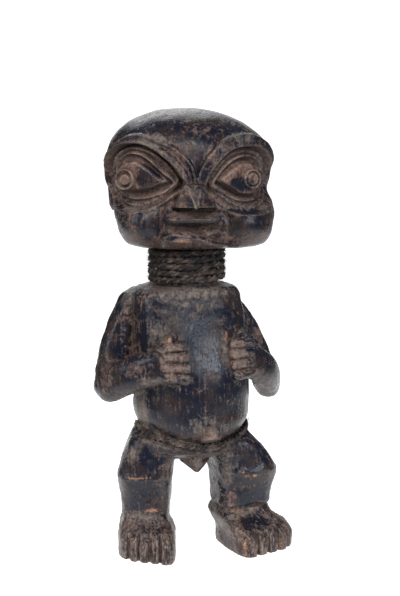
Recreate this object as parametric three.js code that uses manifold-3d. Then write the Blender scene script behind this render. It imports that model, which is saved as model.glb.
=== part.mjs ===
// A standing figure carved in one piece of dark wood, of the kind made by the Mambila: a
// large domed head with ringed tubular eyes and puffed cheeks, a barrel body with both
// hands on the belly, and short bent legs. One twisted fibre rope is wound round its neck
// and a thinner one is tied round its hips.
//
// Millimetres, +Z up. The figure faces -Y and stands on Z = 0. Its right hand is on -X.
// A "side" is -1 for the figure's right and +1 for its left. The carving is laid out from
// an axis that rises between its feet, and at the end it is moved so that the origin is
// on the ground below the middle of the whole.

import * as THREE from "three";
import { mergeVertices } from "three/addons/utils/BufferGeometryUtils.js";
import Module from "manifold-3d";

const wasm = await Module();
wasm.setup();

// Driving sizes

const TOP = 430; // crown of the head above the ground
const CHIN = 300; // flat underside of the head
const SHOULDER = 263; // top of the trunk, where the neck starts
const BELLY = 145; // where the belly is fullest
const BELLY_FOOT = 114; // where the belly ends, above the hips
const KNEE = 80;
const ANKLE = 41;

const MIDDLE = { x: 3.8, y: -3.7 }; // the middle of the whole, from the carving's axis

const HEAD_TURN = -4; // degrees about +Z: the carving twists a little
const TRUNK_TURN = 10;

const NECK = { x: -2.5, y: 3, radius: 30 };
const NECK_ROPE = { thick: 6.2, pitch: 6.3, turns: 5.1, steps: 66 };
const HIP_ROPE = { thick: 5.4, steps: 34 };
const GAP = 0.4; // clear space between a rope and the wood

const radians = THREE.MathUtils.degToRad;
const mix = THREE.MathUtils.lerp;

// Solids: closing, joining and turning

function solidOf(geometry) {
  const flat = geometry.index ? geometry.toNonIndexed() : geometry;
  const bare = new THREE.BufferGeometry();
  bare.setAttribute("position", flat.getAttribute("position"));
  const merged = mergeVertices(bare, 1e-4);
  return new wasm.Manifold(
    new wasm.Mesh({
      numProp: 3,
      vertProperties: merged.attributes.position.array,
      triVerts: new Uint32Array(merged.index.array),
    }),
  );
}

function geometryOf(solid) {
  const mesh = solid.getMesh();
  const geometry = new THREE.BufferGeometry();
  geometry.setAttribute("position", new THREE.BufferAttribute(mesh.vertProperties, 3));
  geometry.setIndex(new THREE.BufferAttribute(mesh.triVerts, 1));
  geometry.computeVertexNormals();
  return geometry;
}

const joined = (solids) => solids.reduce((whole, piece) => whole.add(piece));
const turned = (solid, angle) => solid.rotate([0, 0, angle]);
const bothSides = (make) => [make(-1), make(1)];

// The volume inside a closed skin, below zero where its faces point inwards.
function signedVolume(points, faces) {
  let sixfold = 0;
  for (let i = 0; i < faces.length; i += 3) {
    const [a, b, c] = faces.slice(i, i + 3).map((index) => points[index]);
    sixfold += a.dot(b.clone().cross(c));
  }
  return sixfold / 6;
}

// A skin over a row of rings, closed at each end by a fan about the ring's middle. The
// rings may run either way round.
function loft(rings) {
  const count = rings[0].length;
  const middle = (ring) =>
    ring.reduce((sum, p) => sum.add(p), new THREE.Vector3()).divideScalar(count);
  const points = [middle(rings[0]), ...rings.flat(), middle(rings[rings.length - 1])];
  const at = (ring, i) => 1 + ring * count + (i % count);
  const faces = [];
  for (let i = 0; i < count; i += 1) {
    faces.push(0, at(0, i + 1), at(0, i));
    faces.push(points.length - 1, at(rings.length - 1, i), at(rings.length - 1, i + 1));
    for (let ring = 0; ring + 1 < rings.length; ring += 1) {
      faces.push(at(ring, i), at(ring, i + 1), at(ring + 1, i + 1));
      faces.push(at(ring, i), at(ring + 1, i + 1), at(ring + 1, i));
    }
  }
  if (signedVolume(points, faces) < 0) faces.reverse();
  return new THREE.BufferGeometry().setFromPoints(points).setIndex(faces);
}

// Points round a superellipse, as pairs of shares across and along. "square" 2 is an oval.
function roundShares(sides, square) {
  return Array.from({ length: sides }, (_, i) => {
    const angle = (2 * Math.PI * i) / sides;
    const bend = (value) => Math.sign(value) * Math.abs(value) ** (2 / square);
    return [bend(Math.cos(angle)), bend(Math.sin(angle))];
  });
}

// A level ring, with its own reach to the front and to the back.
function levelRing({ z, x = 0, y = 0, wide, front, back, square = 2, slant = 0 }, sides) {
  return roundShares(sides, square).map(([across, along]) => {
    const reach = along < 0 ? front : back;
    return new THREE.Vector3(x + wide * across, y + reach * along + slant * wide * across, z);
  });
}

const stack = (levels, sides) => loft(levels.map((level) => levelRing(level, sides)));

// A limb along a route of stations: "flat" is half its thickness, "tall" half its height.
function limb(side, stations, sides) {
  const route = stations.map(({ at: [x, y, z] }) => new THREE.Vector3(side * x, y, z));
  const rings = stations.map(({ tall, flat, square = 2.4 }, k) => {
    const ahead = route[Math.min(k + 1, route.length - 1)];
    const along = ahead
      .clone()
      .sub(route[Math.max(k - 1, 0)])
      .normalize();
    const across = new THREE.Vector3(0, 0, 1).cross(along).normalize();
    const up = along.clone().cross(across);
    return roundShares(sides, square).map(([c, s]) =>
      route[k]
        .clone()
        .addScaledVector(across, flat * c)
        .addScaledVector(up, tall * s),
    );
  });
  return solidOf(loft(rings));
}

const egg = (x, y, z, wide, deep, high, around, down) =>
  new THREE.SphereGeometry(1, around, down).scale(wide, deep, high).translate(x, y, z);

// The value of a row of levels at a height, for each of their sizes.
function levelAt(levels, z) {
  const k = THREE.MathUtils.clamp(
    levels.findIndex((level) => level.z > z),
    1,
    levels.length - 1,
  );
  const [low, high] = [levels[k - 1], levels[k]];
  const share = (z - low.z) / (high.z - low.z);
  return (name) => mix(low[name], high[name], share);
}

// Where a stack of levels has its skin in front of (x, z), and the way it faces there.
function skinOf(levels, x, z) {
  const size = levelAt(levels, z);
  const [wide, front, square] = [size("wide"), size("front"), size("square")];
  const across = Math.min(0.999, Math.abs(x) / wide);
  const ahead = (1 - across ** square) ** (1 / square);
  const out = new THREE.Vector3(
    (Math.sign(x) * across ** (square - 1)) / wide,
    -(ahead ** (square - 1)) / front,
    0,
  ).normalize();
  return { place: new THREE.Vector3(x, -front * ahead, z), out };
}

// Head, in its own frame: the skull's middle is on X = Y = 0 and the face looks to -Y

const HEAD_X = -2; // the head sits a little to the figure's right
const FACE_X = 1.5; // and its features a little to the left of its middle
const DOME_FOOT = 384; // above this height the skull is a dome
const DOME_LEAN = -3.5;

function skullLevels() {
  const jaw = [
    { z: CHIN + 2, wide: 43, front: 38, back: 38, square: 2.2 },
    { z: CHIN + 6, wide: 50, front: 45, back: 45, square: 2.3 },
    { z: CHIN + 14, wide: 58, front: 50, back: 51, square: 2.4 },
    { z: 328, wide: 66, front: 52, back: 56, square: 2.5 },
    { z: 342, wide: 71.5, front: 54, back: 60, square: 2.6 },
    { z: 356, wide: 73, front: 56, back: 61.5, square: 2.5 },
    { z: 370, wide: 73.5, front: 59, back: 61.5, square: 2.4 },
  ];
  const dome = [0, 0.26, 0.48, 0.68, 0.84, 0.94, 0.99].map((rise) => {
    const share = Math.sqrt(1 - rise * rise);
    return {
      z: mix(DOME_FOOT, TOP, rise),
      x: DOME_LEAN * rise,
      wide: 76 * share,
      front: 61 * share,
      back: 61 * share,
      square: 2.2,
    };
  });
  return [...jaw, ...dome];
}

const SKULL = skullLevels();
const onFace = (x, z) => skinOf(SKULL, x, z);

// Half of the brow: a bar that rises from the root of the nose, arches over the eye and
// runs out at the temple. Each station is across, up, and the bar's half height and reach.
const BROW = [
  [-2, 361, 6, 8],
  [7, 369, 6.5, 8.5],
  [17, 382, 6, 8],
  [27, 391, 5.2, 7],
  [38, 399, 4.2, 6],
  [50, 402, 3.6, 5.5],
  [61, 400, 3.4, 5],
  [69, 394, 3.2, 4.5],
  [74, 385, 3, 4],
  [76, 375, 2.4, 3],
];

// The bar's section, as shares of its half height and of its reach: its crest is high up.
const BROW_SECTION = [
  [-1.1, -0.6],
  [-1, 0.55],
  [0.2, 1],
  [1, 0.3],
  [1.2, -0.6],
];

function brow(side) {
  const spots = BROW.map(([x, z]) => onFace(side * x, z));
  const rings = spots.map(({ place, out }, k) => {
    const along = spots[Math.min(k + 1, spots.length - 1)].place
      .clone()
      .sub(spots[Math.max(k - 1, 0)].place)
      .normalize();
    const across = along.clone().cross(out).normalize().multiplyScalar(side);
    const [, , half, reach] = BROW[k];
    return BROW_SECTION.map(([up, proud]) =>
      place
        .clone()
        .addScaledVector(across, up * half)
        .addScaledVector(out, proud * reach),
    );
  });
  return solidOf(loft(rings));
}

// A part of the eye runs along the face from its inner corner to the temple. It swells to
// its full height at "swell", and stands out from the skin or goes in by its own reach.
const EYE_STATIONS = [0.03, 0.18, 0.36, 0.54, 0.7, 0.86, 0.97];

function eyeForm(side, { from, to, swell, high, out, into, point = 0.8 }, sides = 8) {
  const rings = EYE_STATIONS.map((share) => {
    const spot = onFace(side * mix(from[0], to[0], share), mix(from[1], to[1], share));
    const full =
      share < swell
        ? (share / swell) ** point
        : Math.sqrt(1 - ((share - swell) / (1 - swell)) ** 2);
    return roundShares(sides, 2).map(([c, s]) =>
      spot.place
        .clone()
        .add(new THREE.Vector3(0, 0, high * full * s))
        .addScaledVector(spot.out, (c > 0 ? out : into) * full * c),
    );
  });
  return solidOf(loft(rings));
}

const EYE = {
  socket: { from: [11, 361], to: [78, 367], swell: 0.57, high: 31, out: 9, into: 6 },
  lids: { from: [14, 361], to: [75, 366], swell: 0.58, high: 24.5, out: 0.5, into: 9 },
  slit: { from: [17, 361], to: [73, 366], swell: 0.6, high: 19, out: 9, into: 6 },
  ball: { from: [19, 361.5], to: [73.5, 366], swell: 0.68, high: 14.5, out: 8, into: 8 },
};
const PUPIL = { right: 60, left: 50.5, z: 365.5, radius: 8.9, groove: 6.3, core: 5, reach: 9.5 };

// The pupil is a short tube with a raised ring and a button in it.
function pupil(side) {
  const { radius, groove, core, reach } = PUPIL;
  const profile = [
    [0, -6],
    [radius + 0.8, -6],
    [radius, reach - 1.2],
    [radius - 1.2, reach],
    [groove, reach - 1.6],
    [core, reach - 1.6],
    [core - 1.2, reach + 0.8],
    [0, reach + 1.4],
  ].map(([r, height]) => new THREE.Vector2(r, height));
  const { place, out } = onFace(side < 0 ? -PUPIL.right : PUPIL.left, PUPIL.z);
  const heading = 0.65 * Math.atan2(out.x, -out.y);
  return solidOf(
    new THREE.LatheGeometry(profile, 10)
      .rotateX(Math.PI)
      .rotateZ(heading)
      .translate(place.x, place.y, place.z),
  );
}

// The nose: a facet that narrows from the bridge to the tip, and a wing on each side.
const NOSE = { root: 367, top: 360, foot: 338, bridge: 8.3, wing: 21.5, reach: 14, wingReach: 4 };

function nose() {
  const { root, top, foot, bridge, wing, reach, wingReach } = NOSE;
  const skin = onFace(0, foot).place.y;
  const back = skin + 14;
  const points = [
    [-bridge, skin - 6, top],
    [bridge, skin - 6, top],
    [0, skin - reach, foot],
    [-wing, skin - wingReach, foot],
    [wing, skin - wingReach, foot],
    [-bridge, back, root],
    [bridge, back, root],
    [-wing, back, foot],
    [wing, back, foot],
  ].map((point) => new THREE.Vector3(...point));
  const faces = [
    [0, 2, 1],
    [0, 3, 2],
    [1, 2, 4],
    [0, 5, 7, 3],
    [1, 4, 8, 6],
    [0, 1, 6, 5],
    [3, 7, 8, 4, 2],
    [5, 6, 8, 7],
  ];
  const fans = faces.flatMap((face) =>
    face.slice(2).flatMap((_, i) => [face[0], face[i + 1], face[i + 2]]),
  );
  return solidOf(new THREE.BufferGeometry().setFromPoints(points).setIndex(fans));
}

// A lip lies across the face, pointed at both ends and arched by its bow.
const UPPER_LIP = { z: 326.5, half: 27, up: 4.6, down: 4.4, reach: 6.5, bow: 0 };
const LOWER_LIP = { z: 305.5, half: 33, up: 4.5, down: 5, reach: 7, bow: 4.5 };
const MOUTH = { z: 318.5, half: 27, high: 5.5, deep: 8 };

function lip({ z, half, up, down, reach, bow }) {
  const shares = [-1, -0.85, -0.5, 0, 0.5, 0.85, 1];
  const rings = shares.map((share) => {
    const full = Math.sqrt(Math.max(0.03, 1 - share * share));
    const middle = z + bow * (1 - share * share);
    const { place } = onFace(share * half, Math.max(middle, CHIN + 8));
    const corner = (rise, proud) =>
      new THREE.Vector3(place.x, place.y - proud, middle + rise * full);
    return [
      corner(-down, -7),
      corner(-down, 0.6 * reach * full),
      corner(0.15 * up, reach * full),
      corner(up, 0.45 * reach * full),
      corner(up, -7),
    ];
  });
  return solidOf(loft(rings));
}

// Each cheek swells out of the jaw beside the mouth, and is tucked in below. The left one
// is higher.
const CHEEKS = {
  right: { x: 45.5, y: -24, wide: 25, front: 29, back: 24, tuck: 1, lift: 0 },
  left: { x: 53.5, y: -23, wide: 25, front: 30, back: 24, tuck: 0.45, lift: 5 },
};
// Height, fullness and shift outwards
const CHEEK_LEVELS = [
  [CHIN, 0.35, -10],
  [CHIN + 4, 0.64, -8],
  [CHIN + 11, 0.88, -4.5],
  [322, 1, -0.5],
  [332, 0.94, 2],
  [339, 0.74, 5],
  [344, 0.4, 6],
];

function cheek(side) {
  const { x, y, wide, front, back, tuck, lift } = side < 0 ? CHEEKS.right : CHEEKS.left;
  const levels = CHEEK_LEVELS.map(([height, full, shift]) => {
    const z = height + lift * THREE.MathUtils.smoothstep(height, CHIN, 339);
    const out = shift < 0 ? tuck * shift : shift;
    const place = { x: side * (x + out), y: y - out / 2, z };
    return { ...place, wide: wide * full, front: front * full, back, square: 2.05 };
  });
  return solidOf(stack(levels, 12));
}

// An ear is half a disc against the side of the head, with a hollow in it.
const EAR = { x: 69.5, y: 20, z: 363, thick: 6.3, long: 14, high: 31 };

function ear(side) {
  const { x, y, z, thick, long, high } = EAR;
  const disc = egg(side * x, y, z, thick, long, high, 8, 8);
  const hollow = egg(side * (x + thick), y - 3, z, thick / 2, long - 6, high - 9, 6, 6);
  return solidOf(disc).subtract(solidOf(hollow));
}

function head() {
  const features = (form) => bothSides((side) => eyeForm(side, form));
  const mouth = solidOf(
    egg(0, onFace(0, MOUTH.z).place.y, MOUTH.z, MOUTH.half, MOUTH.deep, MOUTH.high, 12, 6),
  );
  const skull = solidOf(stack(SKULL, 24));
  const sockets = joined(features(EYE.socket)).translate([FACE_X, 0, 0]);
  const face = joined([
    joined(features(EYE.lids)).subtract(joined(features(EYE.slit))),
    ...features(EYE.ball),
    ...bothSides(pupil),
    ...bothSides(brow),
    ...bothSides(cheek),
    nose(),
    lip(UPPER_LIP),
    lip(LOWER_LIP),
  ]).translate([FACE_X, 0, 0]);
  const whole = joined([
    skull.subtract(sockets).subtract(mouth.translate([FACE_X, 0, 0])),
    face,
    ...bothSides(ear),
  ]);
  return turned(whole, HEAD_TURN).translate([HEAD_X, 0, 0]);
}

// Trunk and arms, in a frame turned to the figure's left

// From the front the belly's underside is half an oval; from the side it is squarer. The
// chest above it is nearly square.
function trunkLevels() {
  const under = [0.985, 0.92, 0.78, 0.55, 0.28].map((drop) => ({
    z: mix(BELLY, BELLY_FOOT, drop),
    x: 1,
    wide: mix(14, 53.5, (1 - drop ** 2) ** (1 / 2)),
    front: mix(20, 59, (1 - drop ** 2.8) ** (1 / 2.8)),
    back: 38,
    square: 2.1,
  }));
  return [
    ...under,
    { z: BELLY, x: 1, wide: 53.5, front: 59, back: 38, square: 2.1 },
    { z: 164, x: 1, wide: 53.5, front: 59, back: 39, square: 2.2 },
    { z: 187, x: 0, wide: 53.8, front: 56.5, back: 40, square: 2.4 },
    { z: 210, x: -2, wide: 54.5, front: 50.5, back: 42, square: 2.7 },
    { z: 232, x: -4, wide: 54, front: 45, back: 42, square: 3 },
    { z: 246, x: -5, wide: 53, front: 41, back: 41, square: 3 },
    { z: 255, x: -5, wide: 51, front: 38, back: 39, square: 3 },
    { z: 260, x: -4, wide: 47, front: 35, back: 37, square: 2.8 },
    { z: SHOULDER, x: -4, wide: 38, front: 29, back: 32, square: 2.4 },
  ];
}

const TRUNK = trunkLevels();
const onTrunk = (x, z) => skinOf(TRUNK, x, z);

const ELBOW = 151;

// Upper arms: slabs set back behind the edge of the chest, each given by how far out it
// reaches at each height. The right shoulder is broader.
const UPPER_ARM = {
  right: [
    [ELBOW, 80],
    [157, 85.5],
    [176, 90.5],
    [198, 87],
    [220, 80],
    [240, 71],
    [253, 62.5],
    [259, 51],
  ],
  left: [
    [ELBOW, 86],
    [157, 91.5],
    [172, 93.5],
    [190, 88],
    [210, 78],
    [230, 66],
    [248, 50],
    [258, 38],
  ],
};
const UPPER_ARM_ROOT = 48; // above the elbow its inner side is inside the trunk
const ELBOW_THICK = 6; // the elbow is cut to a narrow foot
const UPPER_ARM_DEPTH = { y: 12, front: 14, back: 17 };

// The forearm, from the flat cut of the elbow to the wrist.
const FOREARM = [
  { at: [80, 22, 160], tall: 10, flat: 8 },
  { at: [79, 9, 168], tall: 15.5, flat: 12 },
  { at: [72, -10, 177], tall: 16.5, flat: 12.5 },
  { at: [63, -27, 185], tall: 16.5, flat: 12 },
  { at: [51, -40, 190.5], tall: 15.5, flat: 10.5 },
  { at: [41, -49, 194.5], tall: 15, flat: 8 },
];

const FINGER = { count: 4, high: 9.2, from: 45, to: 21, reach: 5.5 };
const HAND_Z = 198.5; // the middle of the four fingers, where they end on the belly
const THUMB = [
  { at: [45, 207], tall: 6, flat: 5 },
  { at: [38, 216], tall: 5.5, flat: 4.5 },
  { at: [32, 224], tall: 4.5, flat: 3.5 },
  { at: [29.5, 228], tall: 1.5, flat: 2 },
];

function finger(side, index) {
  const z = HAND_Z + FINGER.high * (FINGER.count / 2 - index - 0.5);
  const stations = [
    [0, 1],
    [0.86, 0.9],
    [1, 0.45],
  ];
  const rings = stations.map(([share, full]) => {
    const { place, out } = onTrunk(side * mix(FINGER.from, FINGER.to, share), z);
    return roundShares(5, 2).map(([c, s]) =>
      place
        .clone()
        .addScaledVector(out, FINGER.reach * full * c)
        .add(new THREE.Vector3(0, 0, (FINGER.high / 2 + 0.3) * full * s)),
    );
  });
  return solidOf(loft(rings));
}

function thumb(side) {
  const stations = THUMB.map(({ at: [x, z], tall, flat }) => {
    const { place, out } = onTrunk(side * x, z);
    return { at: [x, place.y + 1.5 * out.y, z], tall, flat, square: 2 };
  });
  return limb(side, stations, 6);
}

// The left elbow is further out and lower than the right one.
const LEFT_ELBOW = { out: 5, low: 8 };

function forearm(side) {
  const stations = FOREARM.map(({ at: [x, y, z], ...rest }, k) => {
    const share = side > 0 ? 1 - k / (FOREARM.length - 1) : 0;
    return { at: [x + share * LEFT_ELBOW.out, y, z - share * LEFT_ELBOW.low], ...rest };
  });
  return limb(side, stations, 10);
}

function arm(side) {
  const upper = UPPER_ARM[side < 0 ? "right" : "left"].map(([z, out]) => {
    const thick = ELBOW_THICK + 1.6 * (z - ELBOW);
    const root = Math.min(Math.max(UPPER_ARM_ROOT, out - thick), out - ELBOW_THICK);
    const [x, wide] = [(side * (out + root)) / 2, (out - root) / 2];
    return { z, x, wide, ...UPPER_ARM_DEPTH, square: 2.6 };
  });
  const fingers = Array.from({ length: FINGER.count }, (_, index) => finger(side, index));
  return joined([solidOf(stack(upper, 10)), forearm(side), ...fingers, thumb(side)]);
}

// The navel is a square knob with rounded corners.
const NAVEL = { x: 0.5, z: 129.5, half: 8.5, reach: 6 };

function trunk() {
  const skin = onTrunk(NAVEL.x, NAVEL.z).place.y;
  const navel = [14, -NAVEL.reach + 1.5, -NAVEL.reach].map((reach, k) =>
    roundShares(12, 3.2).map(([c, s]) => {
      const half = NAVEL.half * [1.15, 1, 0.8][k];
      return new THREE.Vector3(NAVEL.x + half * c, skin + reach, NAVEL.z + half * s);
    }),
  );
  const body = [solidOf(stack(TRUNK, 22)), solidOf(loft(navel)), ...bothSides(arm)];
  return turned(joined(body), TRUNK_TURN);
}

const neck = solidOf(
  new THREE.CylinderGeometry(NECK.radius, NECK.radius, CHIN - SHOULDER + 24, 18)
    .rotateX(Math.PI / 2)
    .translate(NECK.x, NECK.y, (CHIN + SHOULDER) / 2),
);

// Hips and legs. Each leg has its own place, turn and foot, because the carving is uneven.

const LEGS = [
  { x: -43.5, y: 2, turn: -10, hip: 10, wide: 0.97 },
  { x: 51, y: 5, turn: 13, hip: -22.5, wide: 1.1 },
];
const FEET = [
  { side: -1, turn: -9, splay: -1, wide: 0.97, toes: 0.36 },
  { side: 1, turn: 14, splay: 14, wide: 1.17, toes: 0.24 },
];

// Height, share of the way in to the hip, half width, reach to the front and to the back.
const LEG = [
  [ANKLE - 6, 0, 23, 21, 24],
  [ANKLE + 1, 0, 23.5, 20, 24],
  [48, 0, 24.5, 23, 24],
  [64, 0, 26, 29, 22],
  [KNEE - 3, 0, 27.5, 36, 22],
  [KNEE + 3, 0.04, 27.5, 36, 23],
  [98, 0.36, 25.5, 35, 28],
  [114, 0.84, 22.5, 32, 32],
  [130, 1.05, 20, 16, 30],
];

function leg({ x, y, turn, hip, wide }) {
  const levels = LEG.map(([z, inwards, half, front, back]) => {
    return { z, wide: wide * half, front, back, x: inwards * hip, square: 3 };
  });
  return turned(solidOf(stack(levels, 12)), turn).translate([x, y, 0]);
}

// Height, share of the splay, half width, reach to the toes and to the heel.
const FOOT = [
  [0, 1, 28, 41.5, 34],
  [3, 1, 29, 43, 35],
  [17, 1, 29, 43, 35],
  [25, 0.9, 27.5, 39, 34],
  [31, 0.6, 24.5, 32, 32],
  [37, 0.25, 22, 26, 29],
  [ANKLE + 1, 0, 20, 20, 25],
];
const TOES = { count: 5, deep: 7, high: 30, cut: 1.7 };

// A groove between two toes: a thin wedge cut down the front of the foot.
function toeGroove(x, front) {
  const { deep, high, cut } = TOES;
  const level = (z, into) => [
    new THREE.Vector3(x - 3 * cut, front - 12, z),
    new THREE.Vector3(x + 3 * cut, front - 12, z),
    new THREE.Vector3(x, front + into, z),
  ];
  return solidOf(loft([level(-5, deep), level(high * 0.6, deep + 2), level(high + 4, deep + 8)]));
}

// The toes of a foot run back towards the little toe, by the share "toes".
function foot({ side, turn, splay, wide, toes }, { x, y }) {
  const levels = FOOT.map(([z, out, half, front, back]) => {
    const slant = side * toes * THREE.MathUtils.smoothstep(front, 15, 40);
    return { z, x: side * out * splay, wide: wide * half, front, back, square: 3.6, slant };
  });
  const block = stack(levels, 16);
  const [, , half, front] = FOOT[2];
  const grooves = Array.from({ length: TOES.count - 1 }, (_, i) => {
    const across = ((2 * (i + 1)) / TOES.count - 1) * wide * half;
    return toeGroove(side * splay + 0.94 * across, -front + side * toes * across);
  });
  return turned(solidOf(block).subtract(joined(grooves)), turn).translate([x, y, 0]);
}

const HIPS = [
  { z: 96, x: 3, y: 4, wide: 38, front: 26, back: 30, square: 2.6 },
  { z: 102, x: 2, y: 2, wide: 48, front: 37, back: 36, square: 2.6 },
  { z: 107, x: 0, y: 0, wide: 53, front: 44, back: 39, square: 2.5 },
  { z: 114, x: -1, y: 0, wide: 55.5, front: 45, back: 39, square: 2.4 },
  { z: 130, x: 0, y: 2, wide: 52, front: 36, back: 37, square: 2.3 },
];

const BUTTOCK = { x: 25, y: 18, z: 108, wide: 28, deep: 27, high: 21 };

function buttock(side) {
  const { x, y, z, wide, deep, high } = BUTTOCK;
  return solidOf(egg(side * x, y, z, wide, deep, high, 10, 8));
}

// The loins end in a wedge that hangs point down between the thighs.
const WEDGE = { x: 2, y: -20, half: 20, top: 108, foot: 82, tip: 6, ridge: 15 };

function wedge() {
  const { x, y, half, top, foot: low, tip, ridge } = WEDGE;
  const level = (z, share, shift) =>
    [
      [half, 4],
      [half * 0.6, 24],
      [-half * 0.6, 24],
      [-half, 4],
      [-1, -ridge],
    ].map(([dx, dy]) => new THREE.Vector3(x + shift + share * dx, y + share * dy, z));
  return solidOf(loft([level(low, 0.1, tip), level(low + 11, 0.62, tip / 2), level(top, 1, 0)]));
}

function legs() {
  const loins = joined([solidOf(stack(HIPS, 16)), ...bothSides(buttock)]);
  const pieces = LEGS.flatMap((each, i) => [leg(each), foot(FEET[i], each)]);
  return joined([turned(loins, TRUNK_TURN), wedge(), ...pieces]);
}

// Ropes. Each is a round section drawn along its winding.

class Winding extends THREE.Curve {
  constructor(place) {
    super();
    this.place = place;
  }
  getPoint(share, target = new THREE.Vector3()) {
    return target.copy(this.place(share));
  }
}

function rope(winding, thick, steps, sides) {
  const section = new THREE.Shape(
    roundShares(sides, 2).map(([c, s]) => new THREE.Vector2(c, s).multiplyScalar(thick / 2)),
  );
  return new THREE.ExtrudeGeometry(section, { steps, extrudePath: winding });
}

// The neck rope climbs by its pitch in each turn and starts at the nape.
const turnStep = (2 * Math.PI * NECK_ROPE.turns) / NECK_ROPE.steps;
const neckWinding = new Winding((share) => {
  const angle = Math.PI / 2 + 2 * Math.PI * NECK_ROPE.turns * share;
  const reach = (NECK.radius + GAP + NECK_ROPE.thick / 2) / Math.cos(turnStep / 2);
  const foot = SHOULDER + 2 * GAP + NECK_ROPE.thick / 2;
  return new THREE.Vector3(
    NECK.x + reach * Math.cos(angle),
    NECK.y + reach * Math.sin(angle),
    foot + NECK_ROPE.pitch * NECK_ROPE.turns * share,
  );
});

// The hip rope lies in the fold under the belly, low in front and high behind. Its two
// ends meet at the right hip.
const FOLD = { x: 1, y: -1, wide: 54, front: 47, back: 40.5, low: 113.5, high: 128.5, ends: 200 };
const ENDS_APART = 0.004; // share of the loop left open between the ends
const hipWinding = new Winding((share) => {
  const angle = radians(FOLD.ends) + 2 * Math.PI * mix(ENDS_APART, 1, share);
  const ahead = (1 - Math.sin(angle)) / 2;
  const reach = Math.sin(angle) < 0 ? FOLD.front : FOLD.back;
  return new THREE.Vector3(
    FOLD.x + FOLD.wide * Math.cos(angle),
    FOLD.y + reach * Math.sin(angle),
    mix(FOLD.high, FOLD.low, ahead ** 3),
  ).applyAxisAngle(new THREE.Vector3(0, 0, 1), radians(TRUNK_TURN));
});

// The whole

const wood = joined([legs(), trunk(), neck, head()]);
const channel = solidOf(rope(hipWinding, HIP_ROPE.thick + 2.4 * GAP, HIP_ROPE.steps, 6));

const woodFinish = new THREE.MeshStandardMaterial({ color: 0x2e2723, roughness: 0.45 });
const ropeFinish = new THREE.MeshStandardMaterial({ color: 0x43382d, roughness: 0.9 });

const pieces = {
  figure: [geometryOf(wood.subtract(channel)), woodFinish],
  neck_rope: [rope(neckWinding, NECK_ROPE.thick, NECK_ROPE.steps, 6), ropeFinish],
  hip_rope: [rope(hipWinding, HIP_ROPE.thick, HIP_ROPE.steps, 6), ropeFinish],
};

const whole = new THREE.Group();
whole.position.set(-MIDDLE.x, -MIDDLE.y, 0);
for (const [name, [geometry, finish]] of Object.entries(pieces)) {
  const mesh = new THREE.Mesh(geometry, finish);
  mesh.name = name;
  whole.add(mesh);
}

export default whole;
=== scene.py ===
# %% [markdown]
# # A standing figure carved in one piece of dark wood
# The real thing is cut from one short log with an adze and knives: a big domed head with
# ringed tubular eyes, a barrel body with both hands on the belly, and short bent legs. A
# twisted fibre rope is wound round its neck and a thinner one is tied round its hips.
# The CAD model already holds its size and pose in flat facets. Here the same named sizes
# are used again for smooth skins, which are melted into one and then carved.

# %% Load the frame
import math

import bmesh
import bpy
import numpy as np
from mathutils import Matrix, Vector, bvhtree, kdtree


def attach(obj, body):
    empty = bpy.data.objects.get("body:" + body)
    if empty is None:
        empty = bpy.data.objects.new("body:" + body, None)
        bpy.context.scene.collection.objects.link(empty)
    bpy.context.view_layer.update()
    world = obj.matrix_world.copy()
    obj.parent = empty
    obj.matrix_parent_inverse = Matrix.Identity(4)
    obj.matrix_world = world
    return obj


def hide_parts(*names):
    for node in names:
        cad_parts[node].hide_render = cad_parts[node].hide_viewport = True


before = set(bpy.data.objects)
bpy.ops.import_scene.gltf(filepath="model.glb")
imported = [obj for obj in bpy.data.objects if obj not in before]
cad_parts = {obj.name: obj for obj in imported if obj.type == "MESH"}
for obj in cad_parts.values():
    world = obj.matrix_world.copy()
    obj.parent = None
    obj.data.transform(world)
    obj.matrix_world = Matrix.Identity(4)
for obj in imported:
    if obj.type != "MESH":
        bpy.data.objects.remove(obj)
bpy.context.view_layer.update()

print("the CAD model has", sorted(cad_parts))

# %% [markdown]
# ## Units and driving sizes
# A carver thinks in millimetres, so every form is laid out in millimetres from an axis that
# rises between the feet. At the end each mesh is moved to the middle of the whole and
# scaled to metres. A side is -1 for the figure's right hand and +1 for its left.

# %% Driving sizes
MM = 0.001
MIDDLE = Vector((3.8, -3.7, 0))
TOP, CHIN, SHOULDER = 430, 300, 263
BELLY, BELLY_FOOT = 145, 114
KNEE, ANKLE = 80, 41
HEAD_TURN, TRUNK_TURN = -4, 10
HEAD_X, FACE_X = -2, 1.5
NECK = {"x": -2.5, "y": 3, "radius": 30, "hidden": 12}


def mix(a, b, share):
    """From a at a share of 0 to b at 1."""
    return a + (b - a) * share


def ramp(value, low, high):
    """0 up to low, 1 from high, and a smooth S between them."""
    share = np.clip((np.asarray(value, float) - low) / (high - low), 0, 1)
    return share * share * (3 - 2 * share)


def bump(away, half):
    """1 at nothing away, falling off like a bell of that half width."""
    return np.exp(-((away / half) ** 2))


def turned(points, degrees):
    """Points turned about the vertical axis."""
    c, s = math.cos(math.radians(degrees)), math.sin(math.radians(degrees))
    return points @ np.array([[c, s, 0], [-s, c, 0], [0, 0, 1]])


print("laid out", TOP, "mm tall, with the chin at", CHIN, "and the shoulders at", SHOULDER)

# %% [markdown]
# ## The camera, the floor and the light
# The photograph looks a little down on the figure and from its right. The camera stands
# 1.25 m away, about where a studio photographer would, with a long lens. A pale floor
# bends up into a wall behind, as a paper roll does, so that no horizon shows. It is white,
# and glows with painted light of its own, only where the picture needs it: the dim floor in front
# and beside keeps the undercuts and the edges of the polished wood dark. Soft lights suit such
# wood, as wide glints show its form.

# %% Camera
HEADING = -10
CAMERA_AWAY, CAMERA_HIGH = 1.25, 0.433
CAMERA_AIM = Vector((0.010, 0, 0.2485))
VIEW_ANGLE = 25.56


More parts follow.
